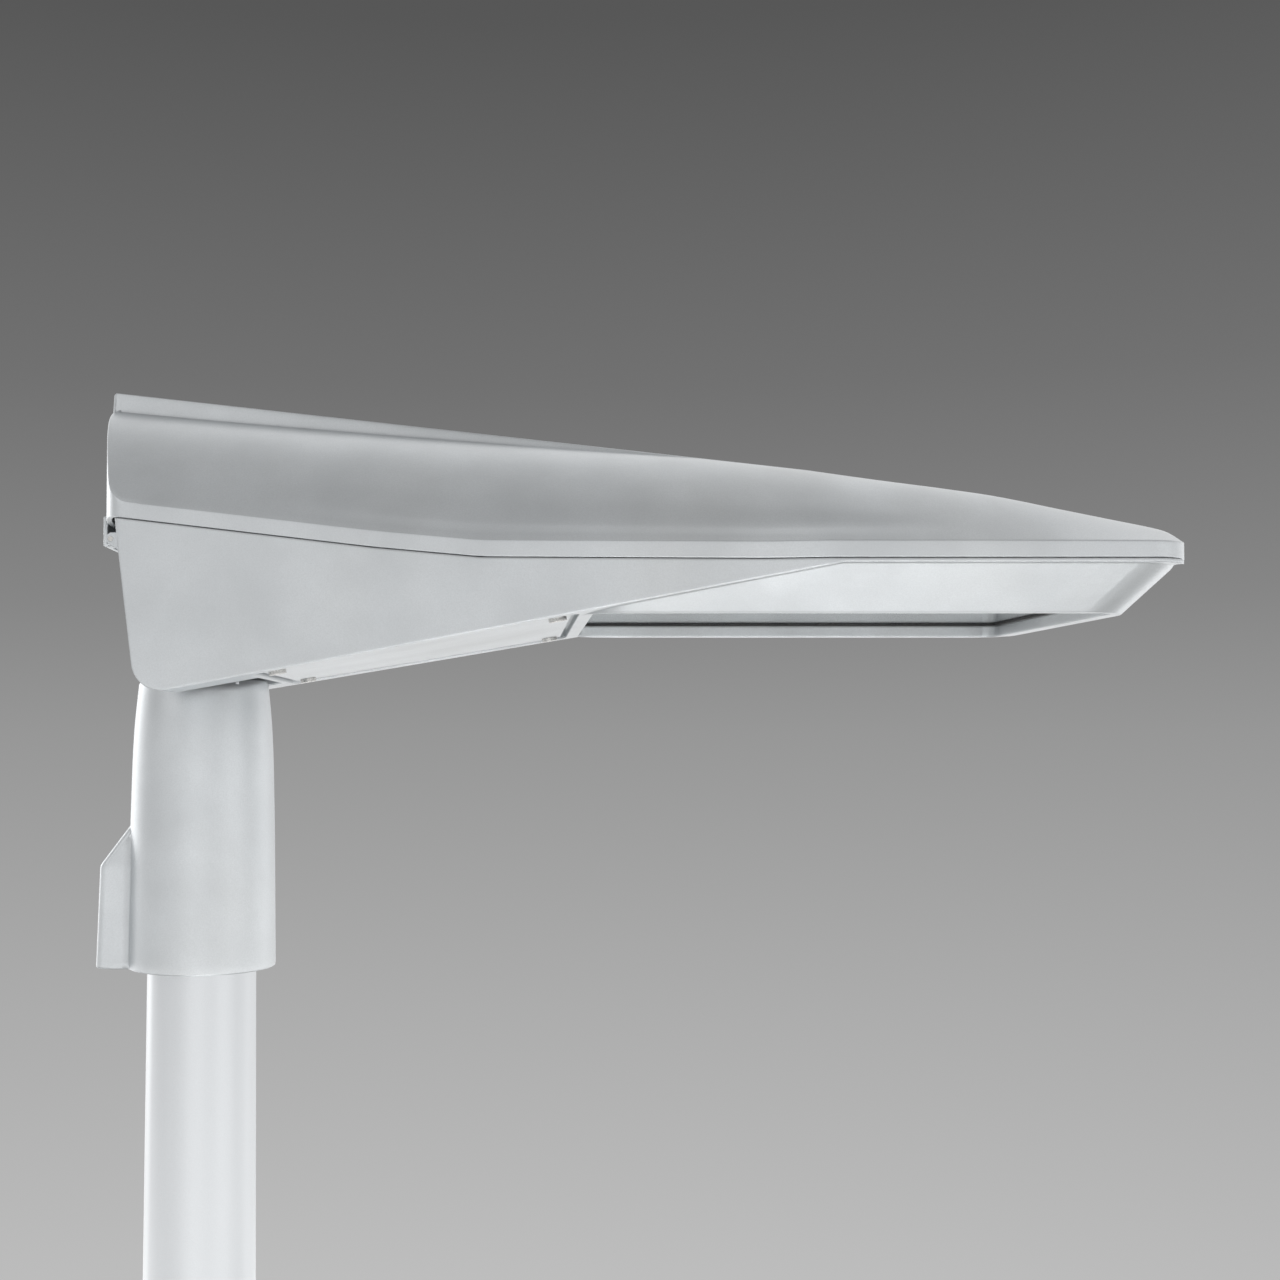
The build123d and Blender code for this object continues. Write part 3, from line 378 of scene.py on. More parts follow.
FINISHES = {
    "cast": PowderCoat("cast_paint"),
    "case": PowderCoat("case_paint", edge=1.7),
    "pole": PolePaint("pole_paint"),
    "zinc": Galvanised("zinc_steel"),
    "stainless": Metal("stainless", (0.62, 0.61, 0.59), Axis.Y),
    "aluminium": Metal("raw_aluminium", (0.72, 0.73, 0.74), Axis.X, 0.34, 600.0),
    "brass": Metal("brass_part", (0.66, 0.48, 0.20), Axis.X, 0.3),
    "rubber": Rubber("black_rubber"),
    "glass": Clear("clear_glass", (0.80, 0.86, 0.86), 1.2, 0.2),
    "lens": Clear("clear_lens", (0.90, 0.93, 0.94), 1.4, 0.5, 0.06),
    "board": Moulded("white_board", (0.70, 0.70, 0.67), 0.35, 0.006),
    "phosphor": Moulded("led_phosphor", (0.78, 0.60, 0.12), 0.3, 0.004),
    "white": Moulded("white_plastic", (0.66, 0.66, 0.63)),
    "grey": Moulded("grey_plastic", (0.20, 0.21, 0.22)),
    "dark": Moulded("dark_plastic", (0.018, 0.018, 0.02)),
}

NODE_FINISHES = {
    "case": ("housing",),
    "cast": ("hatch", "latch_bracket"),
    "pole": ("pole_shaft", "door_panel"),
    "zinc": ("base_plate", "base_gussets", "door_frame", "fuse_rail", "gear_tray"),
    "stainless": ("door_screws", "hinge_pins", "tilt_bolt", "tilt_nut", "hatch_screws", "glass_clips",
                  "latch_pin", "latch_spring", "stay_pivot", "stay_rod"),
    "aluminium": ("tilt_bracket", "heat_sink", "stay_catch"),
    "brass": ("earth_stud",),
    "rubber": ("housing_seal", "glass_gasket"),
    "glass": ("glass",),
    "lens": ("lens_array",),
    "board": ("led_board",),
    "phosphor": ("led_chips",),
    "white": ("driver", "terminal_block", "cable_clamp"),
    "grey": ("fuse_box", "surge_protector"),
    "dark": ("disconnector_socket", "disconnector_plug", "cable_gland", "breather_valve"),
}


# ---- surfaces ---------------------------------------------------------------------


@dataclass(frozen=True)
class Sheet:
    """A grid of points, which may close on itself along either side."""

    points: Array
    wrap_rows: bool = False
    wrap_columns: bool = False

    def faces(self, first: int) -> Array:
        """Quads of the grid: each joins a point to its neighbours in the next row and column.

        Args:
            first: Index of the grid's first vertex.

        Returns:
            Vertex indices, four to a face.
        """
        rows, columns = self.points.shape[:2]
        index = first + np.arange(rows * columns).reshape(rows, columns)
        if self.wrap_rows:
            index = np.vstack([index, index[:1]])
        if self.wrap_columns:
            index = np.hstack([index, index[:, :1]])
        corners = (index[:-1, :-1], index[1:, :-1], index[1:, 1:], index[:-1, 1:])
        return np.stack(corners, axis=-1).reshape(-1, 4)


def piece(name: str, sheets: list[Sheet], finish: bpy.types.Material, body: Body) -> bpy.types.Object:
    """Makes one object of closed sheets, welded where points meet, with its faces outwards.

    Args:
        name: The object's name.
        sheets: Grids of points in millimetres.
        finish: Its material.
        body: The body it rides on.

    Returns:
        The object.
    """
    counts = np.cumsum([0] + [sheet.points.shape[0] * sheet.points.shape[1] for sheet in sheets])
    points = np.vstack([sheet.points.reshape(-1, 3) for sheet in sheets]) * MM
    faces = np.vstack([sheet.faces(int(first)) for sheet, first in zip(sheets, counts)])
    mesh = bpy.data.meshes.new(name)
    mesh.from_pydata(points.tolist(), [], faces.tolist())
    shape = bmesh.new()
    shape.from_mesh(mesh)
    bmesh.ops.remove_doubles(shape, verts=shape.verts, dist=2e-6)
    bmesh.ops.dissolve_degenerate(shape, edges=shape.edges, dist=1e-7)
    bmesh.ops.recalc_face_normals(shape, faces=shape.faces)
    shape.to_mesh(mesh)
    shape.free()
    mesh.shade_smooth()
    mesh.set_sharp_from_angle(angle=SMOOTH_ANGLE)
    mesh.materials.append(finish)
    thing = bpy.data.objects.new(name, mesh)
    bpy.context.scene.collection.objects.link(thing)
    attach(thing, body.value)
    LOG.info("%s: %d faces on %s", name, len(mesh.polygons), body.value)
    return thing


def turned(profile: Array, axis: Axis, centre: Colour, steps: int = 96) -> Sheet:
    """A solid of revolution: each (radius, height) pair of the profile swept round an axis.

    Args:
        profile: Closed or pole-to-pole profile, rows of (radius, distance along the axis).
        axis: The axis it turns about.
        centre: A point on that axis.
        steps: Points round the axis.

    Returns:
        The grid.
    """
    angle = np.linspace(0, 2 * np.pi, steps, endpoint=False)
    radius, height = profile[:, 0][:, None], profile[:, 1][:, None]
    ring = np.stack([radius * np.cos(angle), radius * np.sin(angle), height + 0 * angle], axis=-1)
    order = {Axis.Z: (0, 1, 2), Axis.Y: (0, 2, 1), Axis.X: (2, 0, 1)}[axis]
    return Sheet(ring[..., order] + np.array(centre), wrap_rows=profile[0, 0] > 1e-6, wrap_columns=True)


def rounded_profile(corners: Line, radii: tuple[float, ...], steps: int = 6) -> Array:
    """An outline whose corners are quadratic curves that start and end a given distance from each corner.

    Args:
        corners: The outline's corners in order.
        radii: How far from each corner its curve starts, 0 for a sharp corner.
        steps: Points on each curve.

    Returns:
        The outline's points.
    """
    points = np.array(corners, float)
    before, after = np.roll(points, 1, axis=0), np.roll(points, -1, axis=0)
    back, ahead = before - points, after - points
    back /= np.maximum(np.linalg.norm(back, axis=1, keepdims=True), 1e-9)
    ahead /= np.maximum(np.linalg.norm(ahead, axis=1, keepdims=True), 1e-9)
    reach = np.array(radii, float)[:, None]
    start, end = points + back * reach, points + ahead * reach
    t = np.linspace(0, 1, steps)[None, :, None]
    curve = (1 - t) ** 2 * start[:, None] + 2 * t * (1 - t) * points[:, None] + t ** 2 * end[:, None]
    return curve.reshape(-1, 2)


def prism(outline: Array, axis: Axis, low: float, high: float, radius: float, steps: int = 5) -> Sheet:
    """A plate with rounded rims: an outline moved inwards along its normals by radius times
    one minus the sine of an angle, and along the axis by radius times one minus its cosine.

    Args:
        outline: Closed outline, anticlockwise, in the two other axes' order.
        axis: The axis across the plate.
        low: Where the plate starts along it.
        high: Where it ends.
        radius: Radius of the rims.
        steps: Rows round each rim.

    Returns:
        The grid, closed at the outline's middle on both sides.
    """
    tangent = np.roll(outline, -1, axis=0) - np.roll(outline, 1, axis=0)
    tangent /= np.maximum(np.linalg.norm(tangent, axis=1, keepdims=True), 1e-9)
    normal = np.stack([tangent[:, 1], -tangent[:, 0]], axis=-1)
    angle = np.linspace(0, np.pi / 2, steps)
    inset = radius * (1 - np.sin(angle))
    depth = radius * (1 - np.cos(angle))
    inset, along = np.concatenate([inset, inset[::-1]]), np.concatenate([low + depth, (high - depth)[::-1]])
    rows = outline[None] - normal[None] * inset[:, None, None]
    middle = np.broadcast_to(outline.mean(axis=0), (1, *outline.shape))
    rows = np.concatenate([middle, rows, middle])
    along = np.concatenate([[low], along, [high]])
    depth_grid = np.broadcast_to(along[:, None], rows.shape[:2])
    order = {Axis.Y: (rows[..., 0], depth_grid, rows[..., 1]),
             Axis.X: (depth_grid, rows[..., 0], rows[..., 1]),
             Axis.Z: (rows[..., 0], rows[..., 1], depth_grid)}[axis]
    return Sheet(np.stack(order, axis=-1), wrap_columns=True)


def softened(points: Line, x: Array, reach: Array) -> Array:
    """A polyline's height at x, averaged over reach to each side, which rounds its knees."""
    offsets = np.linspace(-1, 1, 11)
    xs, hs = np.array(points).T
    return np.interp(x[..., None] + reach[..., None] * offsets, xs, hs).mean(axis=-1)


# ---- head: cover ------------------------------------------------------------------


@dataclass
class TopCover:
    """The cast cover: a raised spine that widens forwards, two convex wings and a rim band."""

    rear_x: float = -50.0
    front_x: float = 511.0
    front_bow: float = 0.6
    rear_arc: float = 220.0
    rear_corner: float = 14.0
    front_corner: float = 25.0
    taper: tuple[float, float] = (-40.0, 330.0)
    half_widths: tuple[float, float] = (78.0, 140.0)
    wing: float = 61.0
    step_width: float = 1.2
    step_rear: float = 10.2
    step_least: float = 0.5
    step_end_x: float = 276.0
    band: float = 8.2
    wall: float = 3.0
    gap: float = 0.4
    crown: float = 0.8
    spine_line: Line = ((-60, 109.2), (422, 40.4), (440, 36.8), (472, 29.5), (492, 24.8), (520, 18.9))
    part_line: Line = ((-50, 30.0), (105, 9.2), (160, 3.3), (300, 0.0), (511, 0.0))
    hinge: tuple[float, float] = (507.5, -0.5)
    hinge_y: float = 55.0
    knuckle: tuple[float, float, float] = (3.4, 1.55, 20.0)
    lug: float = 9.0
    finish: bpy.types.Material | None = None

    def half(self, x: Array) -> Array:
        """Half width of the plan at x: a straight taper, then parallel, then the rounded corner."""
        share = np.clip((x - self.taper[0]) / (self.taper[1] - self.taper[0]), None, 1)
        side = self.half_widths[0] + (self.half_widths[1] - self.half_widths[0]) * share
        into = np.clip(x - (self.front_x - self.front_corner), 0, self.front_corner)
        return side - self.front_corner + np.sqrt(self.front_corner ** 2 - into ** 2)

    def outline(self) -> tuple[Array, Array]:
        """Half of the plan outline, from the rear's middle to the front's: a rear arc, a corner
        arc that touches it and the tapering side, the side, a front corner and a bowed front.

        Returns:
            Points (x, y) and their outward normals.
        """
        centre_x = self.rear_x + self.rear_arc
        tilt = math.atan2(self.half_widths[1] - self.half_widths[0], self.taper[1] - self.taper[0])
        slope, r = math.tan(tilt), self.rear_corner
        # the corner's centre lies r inside both the side's line and the rear arc
        level = self.half_widths[0] - slope * self.taper[0] - r / math.cos(tilt)
        a, b = 1 + slope ** 2, 2 * (slope * level - centre_x)
        c = centre_x ** 2 + level ** 2 - (self.rear_arc - r) ** 2
        cx = (-b - math.sqrt(b * b - 4 * a * c)) / (2 * a)
        cy = level + slope * cx
        turn = math.atan2(cy, cx - centre_x)
        sweep = np.linspace(math.pi, turn, 22)
        parts = [(np.stack([centre_x + self.rear_arc * np.cos(sweep), self.rear_arc * np.sin(sweep)], -1),
                  sweep)]
        sweep = np.linspace(turn, math.pi / 2 + tilt, 10)[1:]
        parts.append((np.stack([cx + r * np.cos(sweep), cy + r * np.sin(sweep)], -1), sweep))
        start_x = float(parts[-1][0][-1, 0])
        x = np.concatenate([np.linspace(start_x, self.taper[1], 40)[1:],
                            np.linspace(self.taper[1], self.front_x - self.front_corner, 26)[1:]])
        turn_at = math.pi / 2 + tilt * (1 - np.clip((x - self.taper[1] + 15) / 30, 0, 1))
        parts.append((np.stack([x, self.half(x)], -1), turn_at))
        corner_y = self.half_widths[1] - self.front_corner
        sweep = np.linspace(math.pi / 2, 0, 16)[1:]
        reach = self.front_corner - self.front_bow * (1 - sweep / (math.pi / 2))
        parts.append((np.stack([self.front_x - self.front_corner + reach * np.cos(sweep),
                                corner_y + self.front_corner * np.sin(sweep)], -1), sweep))
        inner, outer = self.lug_span()
        y = np.concatenate([np.linspace(corner_y, outer + 0.2, 8)[1:], [outer, outer - 8.9, outer - 9.1],
                            np.linspace(outer - 12, inner + 12, 5),
                            [inner + 9.1, inner + 8.9, inner, inner - 0.2],
                            np.linspace(inner - 4, 0, 8)])
        parts.append((np.stack([self.front_x - self.front_bow * (y / corner_y) ** 2, y], -1), 0 * y))
        points = np.vstack([part[0] for part in parts])
        angle = np.concatenate([part[1] for part in parts])
        return points, np.stack([np.cos(angle), np.sin(angle)], -1)

    def lug_span(self) -> tuple[float, float]:
        """Nearest and farthest y that the housing's hinge lugs take."""
        reach = self.knuckle[2] / 2 + self.gap + self.lug + self.gap
        return self.hinge_y - reach, self.hinge_y + reach

    def foot(self, x: Array, y: Array) -> Array:
        """Height of the lower edge: the parting line plus the gap, raised over the hinge lugs."""
        inner, outer = self.lug_span()
        on_inner = (y > inner - 0.01) & (y < inner + 9)
        on_outer = (y > outer - 9) & (y < outer + 0.01)
        on_lug = (x > self.front_x - 6) & (on_inner | on_outer)
        xs, hs = np.array(self.part_line).T
        return np.interp(x, xs, hs) + self.gap + np.where(on_lug, 3.2, 0.0)

    def section(self, x: Array) -> tuple[Array, Array]:
        """Sections of the top at each x, from the middle to the rim.

        The spine has a parabolic crown, the step is half a cosine wave, and the wing is a cubic
        Bezier curve whose ends slope less and more than its chord. A Gaussian hollow just inside
        the rim gives the wing its flare along the middle of the head.

        Args:
            x: Stations.

        Returns:
            y and h of each section's points, one row to a station.
        """
        x = x[:, None]
        full = self.half(x)
        edge = np.minimum(self.half(np.minimum(x, 480.0)) - self.wing, full - self.step_width - 12)
        edge = np.maximum(edge, 1.0)
        xs, hs = np.array(self.part_line).T
        low = np.interp(x, xs, hs) + self.gap + self.band
        top = softened(self.spine_line, x, np.clip((self.front_x - x) / 3, 0.4, 9.0))
        share = np.clip((x - self.rear_x) / (self.step_end_x - self.rear_x), 0, 1)
        step = np.minimum(self.step_rear * (1 - share ** 1.3) + self.step_least,
                          np.maximum(top - low, 0.1) * 0.4)
        spine = np.linspace(0, 1, 9)[None, :]
        ys, zs = [edge * spine], [top - self.crown * np.clip((self.front_x - x) / 60, 0, 1) * spine ** 2]
        top = zs[0][:, -1:]
        wave = np.linspace(0, 1, 8)[None, 1:]
        ys.append(edge + self.step_width * wave)
        zs.append(top - step * (1 - np.cos(np.pi * wave)) / 2)
        wide = full - edge - self.step_width
        drop = np.maximum(top - step - low, 0.3)
        chord = np.hypot(wide, drop)
        mean = np.arctan2(drop, wide)
        upper = np.clip(mean - math.radians(27), math.radians(3), None)
        lower = mean + math.radians(14) * np.clip(mean / math.radians(28), 0, 1)
        pull = 0.40 * chord
        t = np.linspace(0, 1, 27)[None, 1:]
        p1y, p1z = pull * np.cos(upper), -pull * np.sin(upper)
        p2y, p2z = wide - pull * np.cos(lower), -drop + pull * np.sin(lower)
        y = 3 * t * (1 - t) ** 2 * p1y + 3 * t ** 2 * (1 - t) * p2y + t ** 3 * wide
        z = 3 * t * (1 - t) ** 2 * p1z + 3 * t ** 2 * (1 - t) * p2z - t ** 3 * drop
        window = np.clip((x - 30) / 90, 0, 1) * np.clip((400 - x) / 90, 0, 1)
        z = z - 2.6 * window * np.exp(-(((t - 0.85) / 0.075) ** 2)) * (1 - t ** 12)
        ys.append(edge + self.step_width + y)
        zs.append(top - step + z)
        return np.hstack(ys), np.hstack(zs)

    def skin(self, points: Array, normals: Array, inset: float, sink: float) -> Array:
        """One skin of the cover over half of the plan. The sections are cut off at the outline,
        where a rim arc turns down into a wall that ends at the foot.

        Args:
            points: Plan outline.
            normals: Its outward normals.
            inset: How far the skin's wall lies inside the outline.
            sink: How far its top lies below the outer top.

        Returns:
            Grid of points from the middle to the foot, one row to an outline point.
        """
        x = points[:, 0]
        radius = np.interp(x, (self.rear_x, 150, 420), (1.5, 1.3, 0.9))[:, None]
        start = np.interp(x, (self.rear_x, -34, -20, 430, 500, 510), (8, 12, 44, 40, 22, 10))
        start = np.radians(start)[:, None]
        tuck = inset + radius * (1 - np.sin(start))
        base = points - normals * tuck
        ys, zs = self.section(base[:, 0])
        limit = np.maximum(base[:, 1:], 0)
        spot = np.clip((ys < limit).sum(axis=1, keepdims=True), 1, ys.shape[1] - 1)
        y0, y1 = np.take_along_axis(ys, spot - 1, 1), np.take_along_axis(ys, spot, 1)
        z0, z1 = np.take_along_axis(zs, spot - 1, 1), np.take_along_axis(zs, spot, 1)
        rim_z = z0 + (z1 - z0) * np.clip((limit - y0) / np.maximum(y1 - y0, 1e-9), 0, 1.2)
        out = ys >= limit
        top_y, top_z = np.where(out, limit, ys), np.where(out, rim_z, zs)
        top = np.stack([np.broadcast_to(base[:, :1], ys.shape), top_y, top_z - sink], -1)
        turn = start + (np.pi / 2 - start) * np.linspace(0, 1, 7)[None, 1:]
        reach = inset + radius * (1 - np.sin(turn))
        edge = points[:, None] - normals[:, None] * reach[..., None]
        edge_z = rim_z - sink - radius * (np.cos(start) - np.cos(turn))
        rim = np.concatenate([edge, edge_z[..., None]], -1)
        foot = self.foot(points[:, 0], points[:, 1])[:, None]
        down = np.array([0.2, 0.45, 0.7, 1.0])[None]
        lowest = edge_z[:, -1:] - 0.1
        lip = np.minimum(foot + 0.35, lowest)
        wall_z = edge_z[:, -1:] + (lip - edge_z[:, -1:]) * down
        wall = np.broadcast_to(edge[:, -1:], (len(x), 4, 2))
        side = np.concatenate([wall, wall_z[..., None]], -1)
        toward = -0.35 if inset == 0 else 0.35
        last = np.concatenate([edge[:, -1] + normals * toward, np.minimum(foot, lowest)], -1)[:, None]
        return np.concatenate([top, rim, side, last], axis=1)

    def shell(self) -> Sheet:
        """Outer and inner skins joined at the foot and mirrored to the other side."""
        points, normals = self.outline()
        outer = self.skin(points, normals, 0.0, 0.0)
        inner = self.skin(points, normals, self.wall, self.wall)
        inner[..., 1] = np.maximum(inner[..., 1], 0)
        half = np.concatenate([outer, inner[:, ::-1]], axis=1)
        other = half[:, ::-1] * np.array([1, -1, 1])
        grid = np.concatenate([half, other], axis=1)
        grid[[0, -1], :, 1] = 0
        return Sheet(grid + np.array([0, 0, RIM_Z]), wrap_columns=True)

    def knuckles(self) -> list[Sheet]:
        """Two bored hinge knuckles: a ring section with rounded corners turned about the hinge."""
        outer, bore, length = self.knuckle
        ring = rounded_profile(((bore, 0), (outer, 0), (outer, length), (bore, length)), (0.1, 0.5, 0.5, 0.1))
        return [turned(ring, Axis.Y,
                       (self.hinge[0], side * self.hinge_y - length / 2, RIM_Z + self.hinge[1]), 40)
                for side in (-1, 1)]

    def build(self) -> None:
        """Makes the cover, which stands for the CAD cover."""
        cover = piece("cover_casting", [self.shell(), *self.knuckles()], self.finish, Body.COVER)
        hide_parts("cover")


# ---- head: latch ------------------------------------------------------------------


@dataclass
class Latch:
    """The folded lever that holds the cover shut, on its barrel."""

    outer_x: float = -53.0
    thickness: float = 2.6
    half_width: float = 22.0
    heights: tuple[float, float] = (19.0, 36.0)
    axis: tuple[float, float] = (-48.0, 23.0)
    barrel: float = 3.0
    bore: float = 1.55
    finish: bpy.types.Material | None = None

    def build(self) -> None:
        """Makes the lever: a plate with rounded rims, its barrel in two parts and a web joining each part to
        the plate.
        """
        x0, x1 = self.outer_x, self.outer_x + self.thickness
        low, high = (RIM_Z + h for h in self.heights)
        outline = rounded_profile(((x0, low), (x1, low), (x1, high), (x0, high)), (1.2, 1.2, 0.6, 0.9))
        sheets = [prism(outline, Axis.Y, -self.half_width, self.half_width, 0.8)]
        ring = rounded_profile(((self.bore, 0), (self.barrel, 0), (self.barrel, 14.6), (self.bore, 14.6)),
                               (0.1, 0.4, 0.4, 0.1))
        for y in (-self.half_width, self.half_width - 14.6):
            sheets.append(turned(ring, Axis.Y, (self.axis[0], y, RIM_Z + self.axis[1]), 36))
            web = rounded_profile(((x1 - 0.6, RIM_Z + 19.4), (self.axis[0] - 1.2, RIM_Z + 19.9),
                                   (self.axis[0] - 1.6, RIM_Z + 22.8), (x1 - 0.6, RIM_Z + 25.4)),
                                  (0.2, 0.6, 0.2, 0.2))
            sheets.append(prism(web, Axis.Y, y + 0.3, y + 14.3, 0.3, 3))
        lever = piece("latch_lever_formed", sheets, self.finish, Body.LATCH)
        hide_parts("latch_lever")


# ---- spigot -----------------------------------------------------------------------


@dataclass
class Spigot:
    """The cast sleeve on the pole's top, with its clamping boss and the tilt joint's two lugs."""

    low: float = 3905.0
    height: float = 163.0
    radii: Line = ((0.0, 41.3), (0.5, 40.3), (0.75, 39.3), (0.88, 38.0), (1.0, 35.6))
    top_round: float = 3.0
    bore: float = 31.5
    bore_top: float = 4000.4
    boss_reach: float = 57.3
    boss_height: float = 56.0
    boss_slant: float = 20.0
    boss_half: float = 15.0
    knuckle_r: float = 24.0
    lug_y: tuple[float, float] = (14.0, 28.0)
    axis_h: float = -38.0
    finish: bpy.types.Material | None = None
    screw_finish: bpy.types.Material | None = None

    def sleeve(self) -> Sheet:
        """The sleeve: its profile runs from the bore's roof down, round the mouth, up the
        tapering outside and over a quarter-round shoulder to the middle of the top."""
        share = np.linspace(0.012, 1, 40)
        xs, rs = np.array(self.radii).T
        spread = np.linspace(-0.07, 0.07, 9)
        radius = np.interp(share[:, None] + spread, xs, rs).mean(axis=1)
        outside = np.stack([radius, self.low + self.height * share], -1)
        top = self.low + self.height
        turn = np.linspace(0, np.pi / 2, 8)
        r = self.top_round
        outside = outside[outside[:, 1] < top - r]
        last = float(outside[-1, 0])
        shoulder = np.stack([last - 0.6 - r + r * np.cos(turn), top - r + r * np.sin(turn)], -1)
        mouth = np.array([(0, self.bore_top), (self.bore - 2, self.bore_top), (self.bore, self.bore_top - 2),
                          (self.bore, self.low + 1.5), (self.bore + 1.2, self.low),
                          (radius[0] - 1.0, self.low), (radius[0] - 0.2, self.low + 0.5)])
        profile = np.vstack([mouth, outside, shoulder, [(0, top)]])
        return turned(profile, Axis.Z, (0, 0, 0), 128)

    def boss(self) -> Sheet:
        """The boss: a rounded section that reaches rearwards, the same up to the slant and then
        drawn into the sleeve, its roots flared by a quarter cosine into the sleeve's side."""
        height = np.concatenate([[0.0, 0.4, 1.2], np.linspace(4, self.boss_height - 3, 12),
                                 self.boss_height + np.array([-1.5, 0.0, 1.5, 3.5]),
                                 self.boss_height + self.boss_slant * np.linspace(0.3, 1.5, 9)])
        climb = np.clip((height - self.boss_height) / self.boss_slant, 0, 1.6)
        soft = np.where(climb < 0.15, climb ** 2 / 0.3, climb - 0.075)
        reach = self.boss_reach - 1.8 * np.clip(height / self.boss_height, 0, 1) - soft * 14.7
        reach = reach - np.interp(height, (0.0, 0.4, 1.2), (1.2, 0.5, 0.0))
        half = self.boss_half - np.interp(height, (0.0, 0.4, 1.2), (1.2, 0.5, 0.0)) - 1.5 * soft
        turn = np.linspace(0, np.pi / 2, 8)
        corner = 4.5
        flare = np.linspace(0, 1, 8)
        root_x, root_w = 28.0, 6.0
        flare_x = np.minimum(33.0 + 9.0 * flare[None], (reach - corner)[:, None])
        flare_y = half[:, None] + root_w * (1 - np.sin(flare * np.pi / 2))[None]
        corner_x = (reach - corner)[:, None] + corner * np.sin(turn)[None]
        corner_y = (half - corner)[:, None] + corner * np.cos(turn)[None]
        root = np.full((len(height), 1), root_x)
        root_y = half[:, None] + root_w
        xs = np.hstack([root, flare_x, corner_x])
        ys = np.hstack([root_y, flare_y, corner_y])
        xs, ys = np.hstack([xs, xs[:, ::-1]]), np.hstack([ys, -ys[:, ::-1]])
        zs = np.broadcast_to((self.low + height)[:, None], xs.shape)
        body = np.stack([-xs, ys, zs], -1)
        caps = [np.broadcast_to(row.mean(axis=0), (1, *row.shape)) for row in (body[0], body[-1])]
        return Sheet(np.concatenate([caps[0], body, caps[1]]), wrap_columns=True)

    def lugs(self) -> list[Sheet]:
        """The tilt joint's lugs: plates with a half-round top and rounded rims."""
        axis_z = RIM_Z + self.axis_h
        turn = np.linspace(0, np.pi, 33)
        arc = np.stack([self.knuckle_r * np.cos(turn), axis_z + self.knuckle_r * np.sin(turn)], -1)
        root = self.low + self.height - 3
        foot = np.array([(-self.knuckle_r, root), (self.knuckle_r, root)])
        outline = np.vstack([arc, foot])[::-1]
        return [prism(outline, Axis.Y, *sorted((side * self.lug_y[0], side * self.lug_y[1])), 1.4)
                for side in (-1, 1)]

    def screws(self) -> list[Sheet]:
        """Two cup-headed set screws in the boss: a chamfered rim round a hexagonal socket."""
        angle = np.linspace(0, 2 * np.pi, 72, endpoint=False)
        flat = 2.5 / np.cos((angle + np.pi / 6) % (np.pi / 3) - np.pi / 6)
        rows = ((0.0, -6.0, False), (5.0, -6.0, False), (5.0, 0.6, False), (4.4, 1.2, False),
                (3.4, 1.2, False),
                (1.04, 1.0, True), (1.0, 0.6, True), (1.0, -2.8, True), (0.0, -3.4, True))
        sheets = []
        for share in (0.3, 0.75):
            face = self.boss_reach - 1.8 * share
            z = self.low + self.boss_height * share
            radius = np.stack([flat * r if hexed else np.full_like(angle, r) for r, _, hexed in rows])
            x = np.array([-(face + along) for _, along, _ in rows])[:, None] + 0 * angle
            sheets.append(Sheet(np.stack([x, radius * np.cos(angle), z + radius * np.sin(angle)], -1),
                                wrap_columns=True))
        return sheets

    def build(self) -> None:
        """Makes the spigot and its set screws, which stand for the CAD ones."""
        arm = piece("spigot_casting", [self.sleeve(), self.boss(), *self.lugs()], self.finish, Body.ARM)
        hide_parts("spigot")
        screws = piece("set_screws", self.screws(), self.screw_finish, Body.ARM)
        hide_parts("spigot_set_screws")


# ---- post -------------------------------------------------------------------------


@dataclass
class WeldBeads:
    """Welds that join the pole and its gussets to the base plate."""

    pole_r: float = 50.0
    plate_top: float = 20.0
    bead: float = 5.0
    ripple: float = 0.35
    gusset_end: float = 124.0
    gusset_half: float = 4.0
    finish: bpy.types.Material | None = None

    def tube(self, path: Array, closed: bool) -> Sheet:
        """A bead: a circle carried along a flat path, its radius rippled by a sine of the distance.

        Args:
            path: Points (x, y) of the bead's line.
            closed: Whether the line closes.

        Returns:
            The grid.
        """
        ahead = np.roll(path, -1, axis=0) - np.roll(path, 1, axis=0)
        if not closed:
            ahead[0], ahead[-1] = path[1] - path[0], path[-1] - path[-2]
        ahead /= np.linalg.norm(ahead, axis=1, keepdims=True)
        travelled = np.concatenate([[0], np.cumsum(np.linalg.norm(np.diff(path, axis=0), axis=1))])
        radius = self.bead - self.ripple + self.ripple * np.sin(travelled * 2 * np.pi / 3.2)
        if not closed:
            radius[[0, -1]] = 0
        turn = np.linspace(0, 2 * np.pi, 18, endpoint=False)
        side = radius[:, None] * np.cos(turn)
        x = path[:, :1] + ahead[:, 1:] * side
        y = path[:, 1:] - ahead[:, :1] * side
        z = self.plate_top + radius[:, None] * np.sin(turn)
        return Sheet(np.stack([x, y, z], -1), wrap_rows=closed, wrap_columns=True)

    def build(self) -> None:
        """Makes a ring round the pole's foot and a bead along both sides of each gusset."""
        angle = np.linspace(0, 2 * np.pi, 392, endpoint=False)
        ring = self.pole_r * np.stack([np.cos(angle), np.sin(angle)], -1)
        sheets = [self.tube(ring, True)]
        run = np.linspace(self.pole_r + 2, self.gusset_end, 90)
        for quarter in range(4):
            c, s = math.cos(quarter * math.pi / 2), math.sin(quarter * math.pi / 2)
            for side in (-1, 1):
                line = np.stack([run, np.full_like(run, side * self.gusset_half)], -1)
                sheets.append(self.tube(line @ np.array([[c, s], [-s, c]]), False))
        piece("weld_beads", sheets, self.finish, Body.POST)


# ---- carried-over parts -----------------------------------------------------------


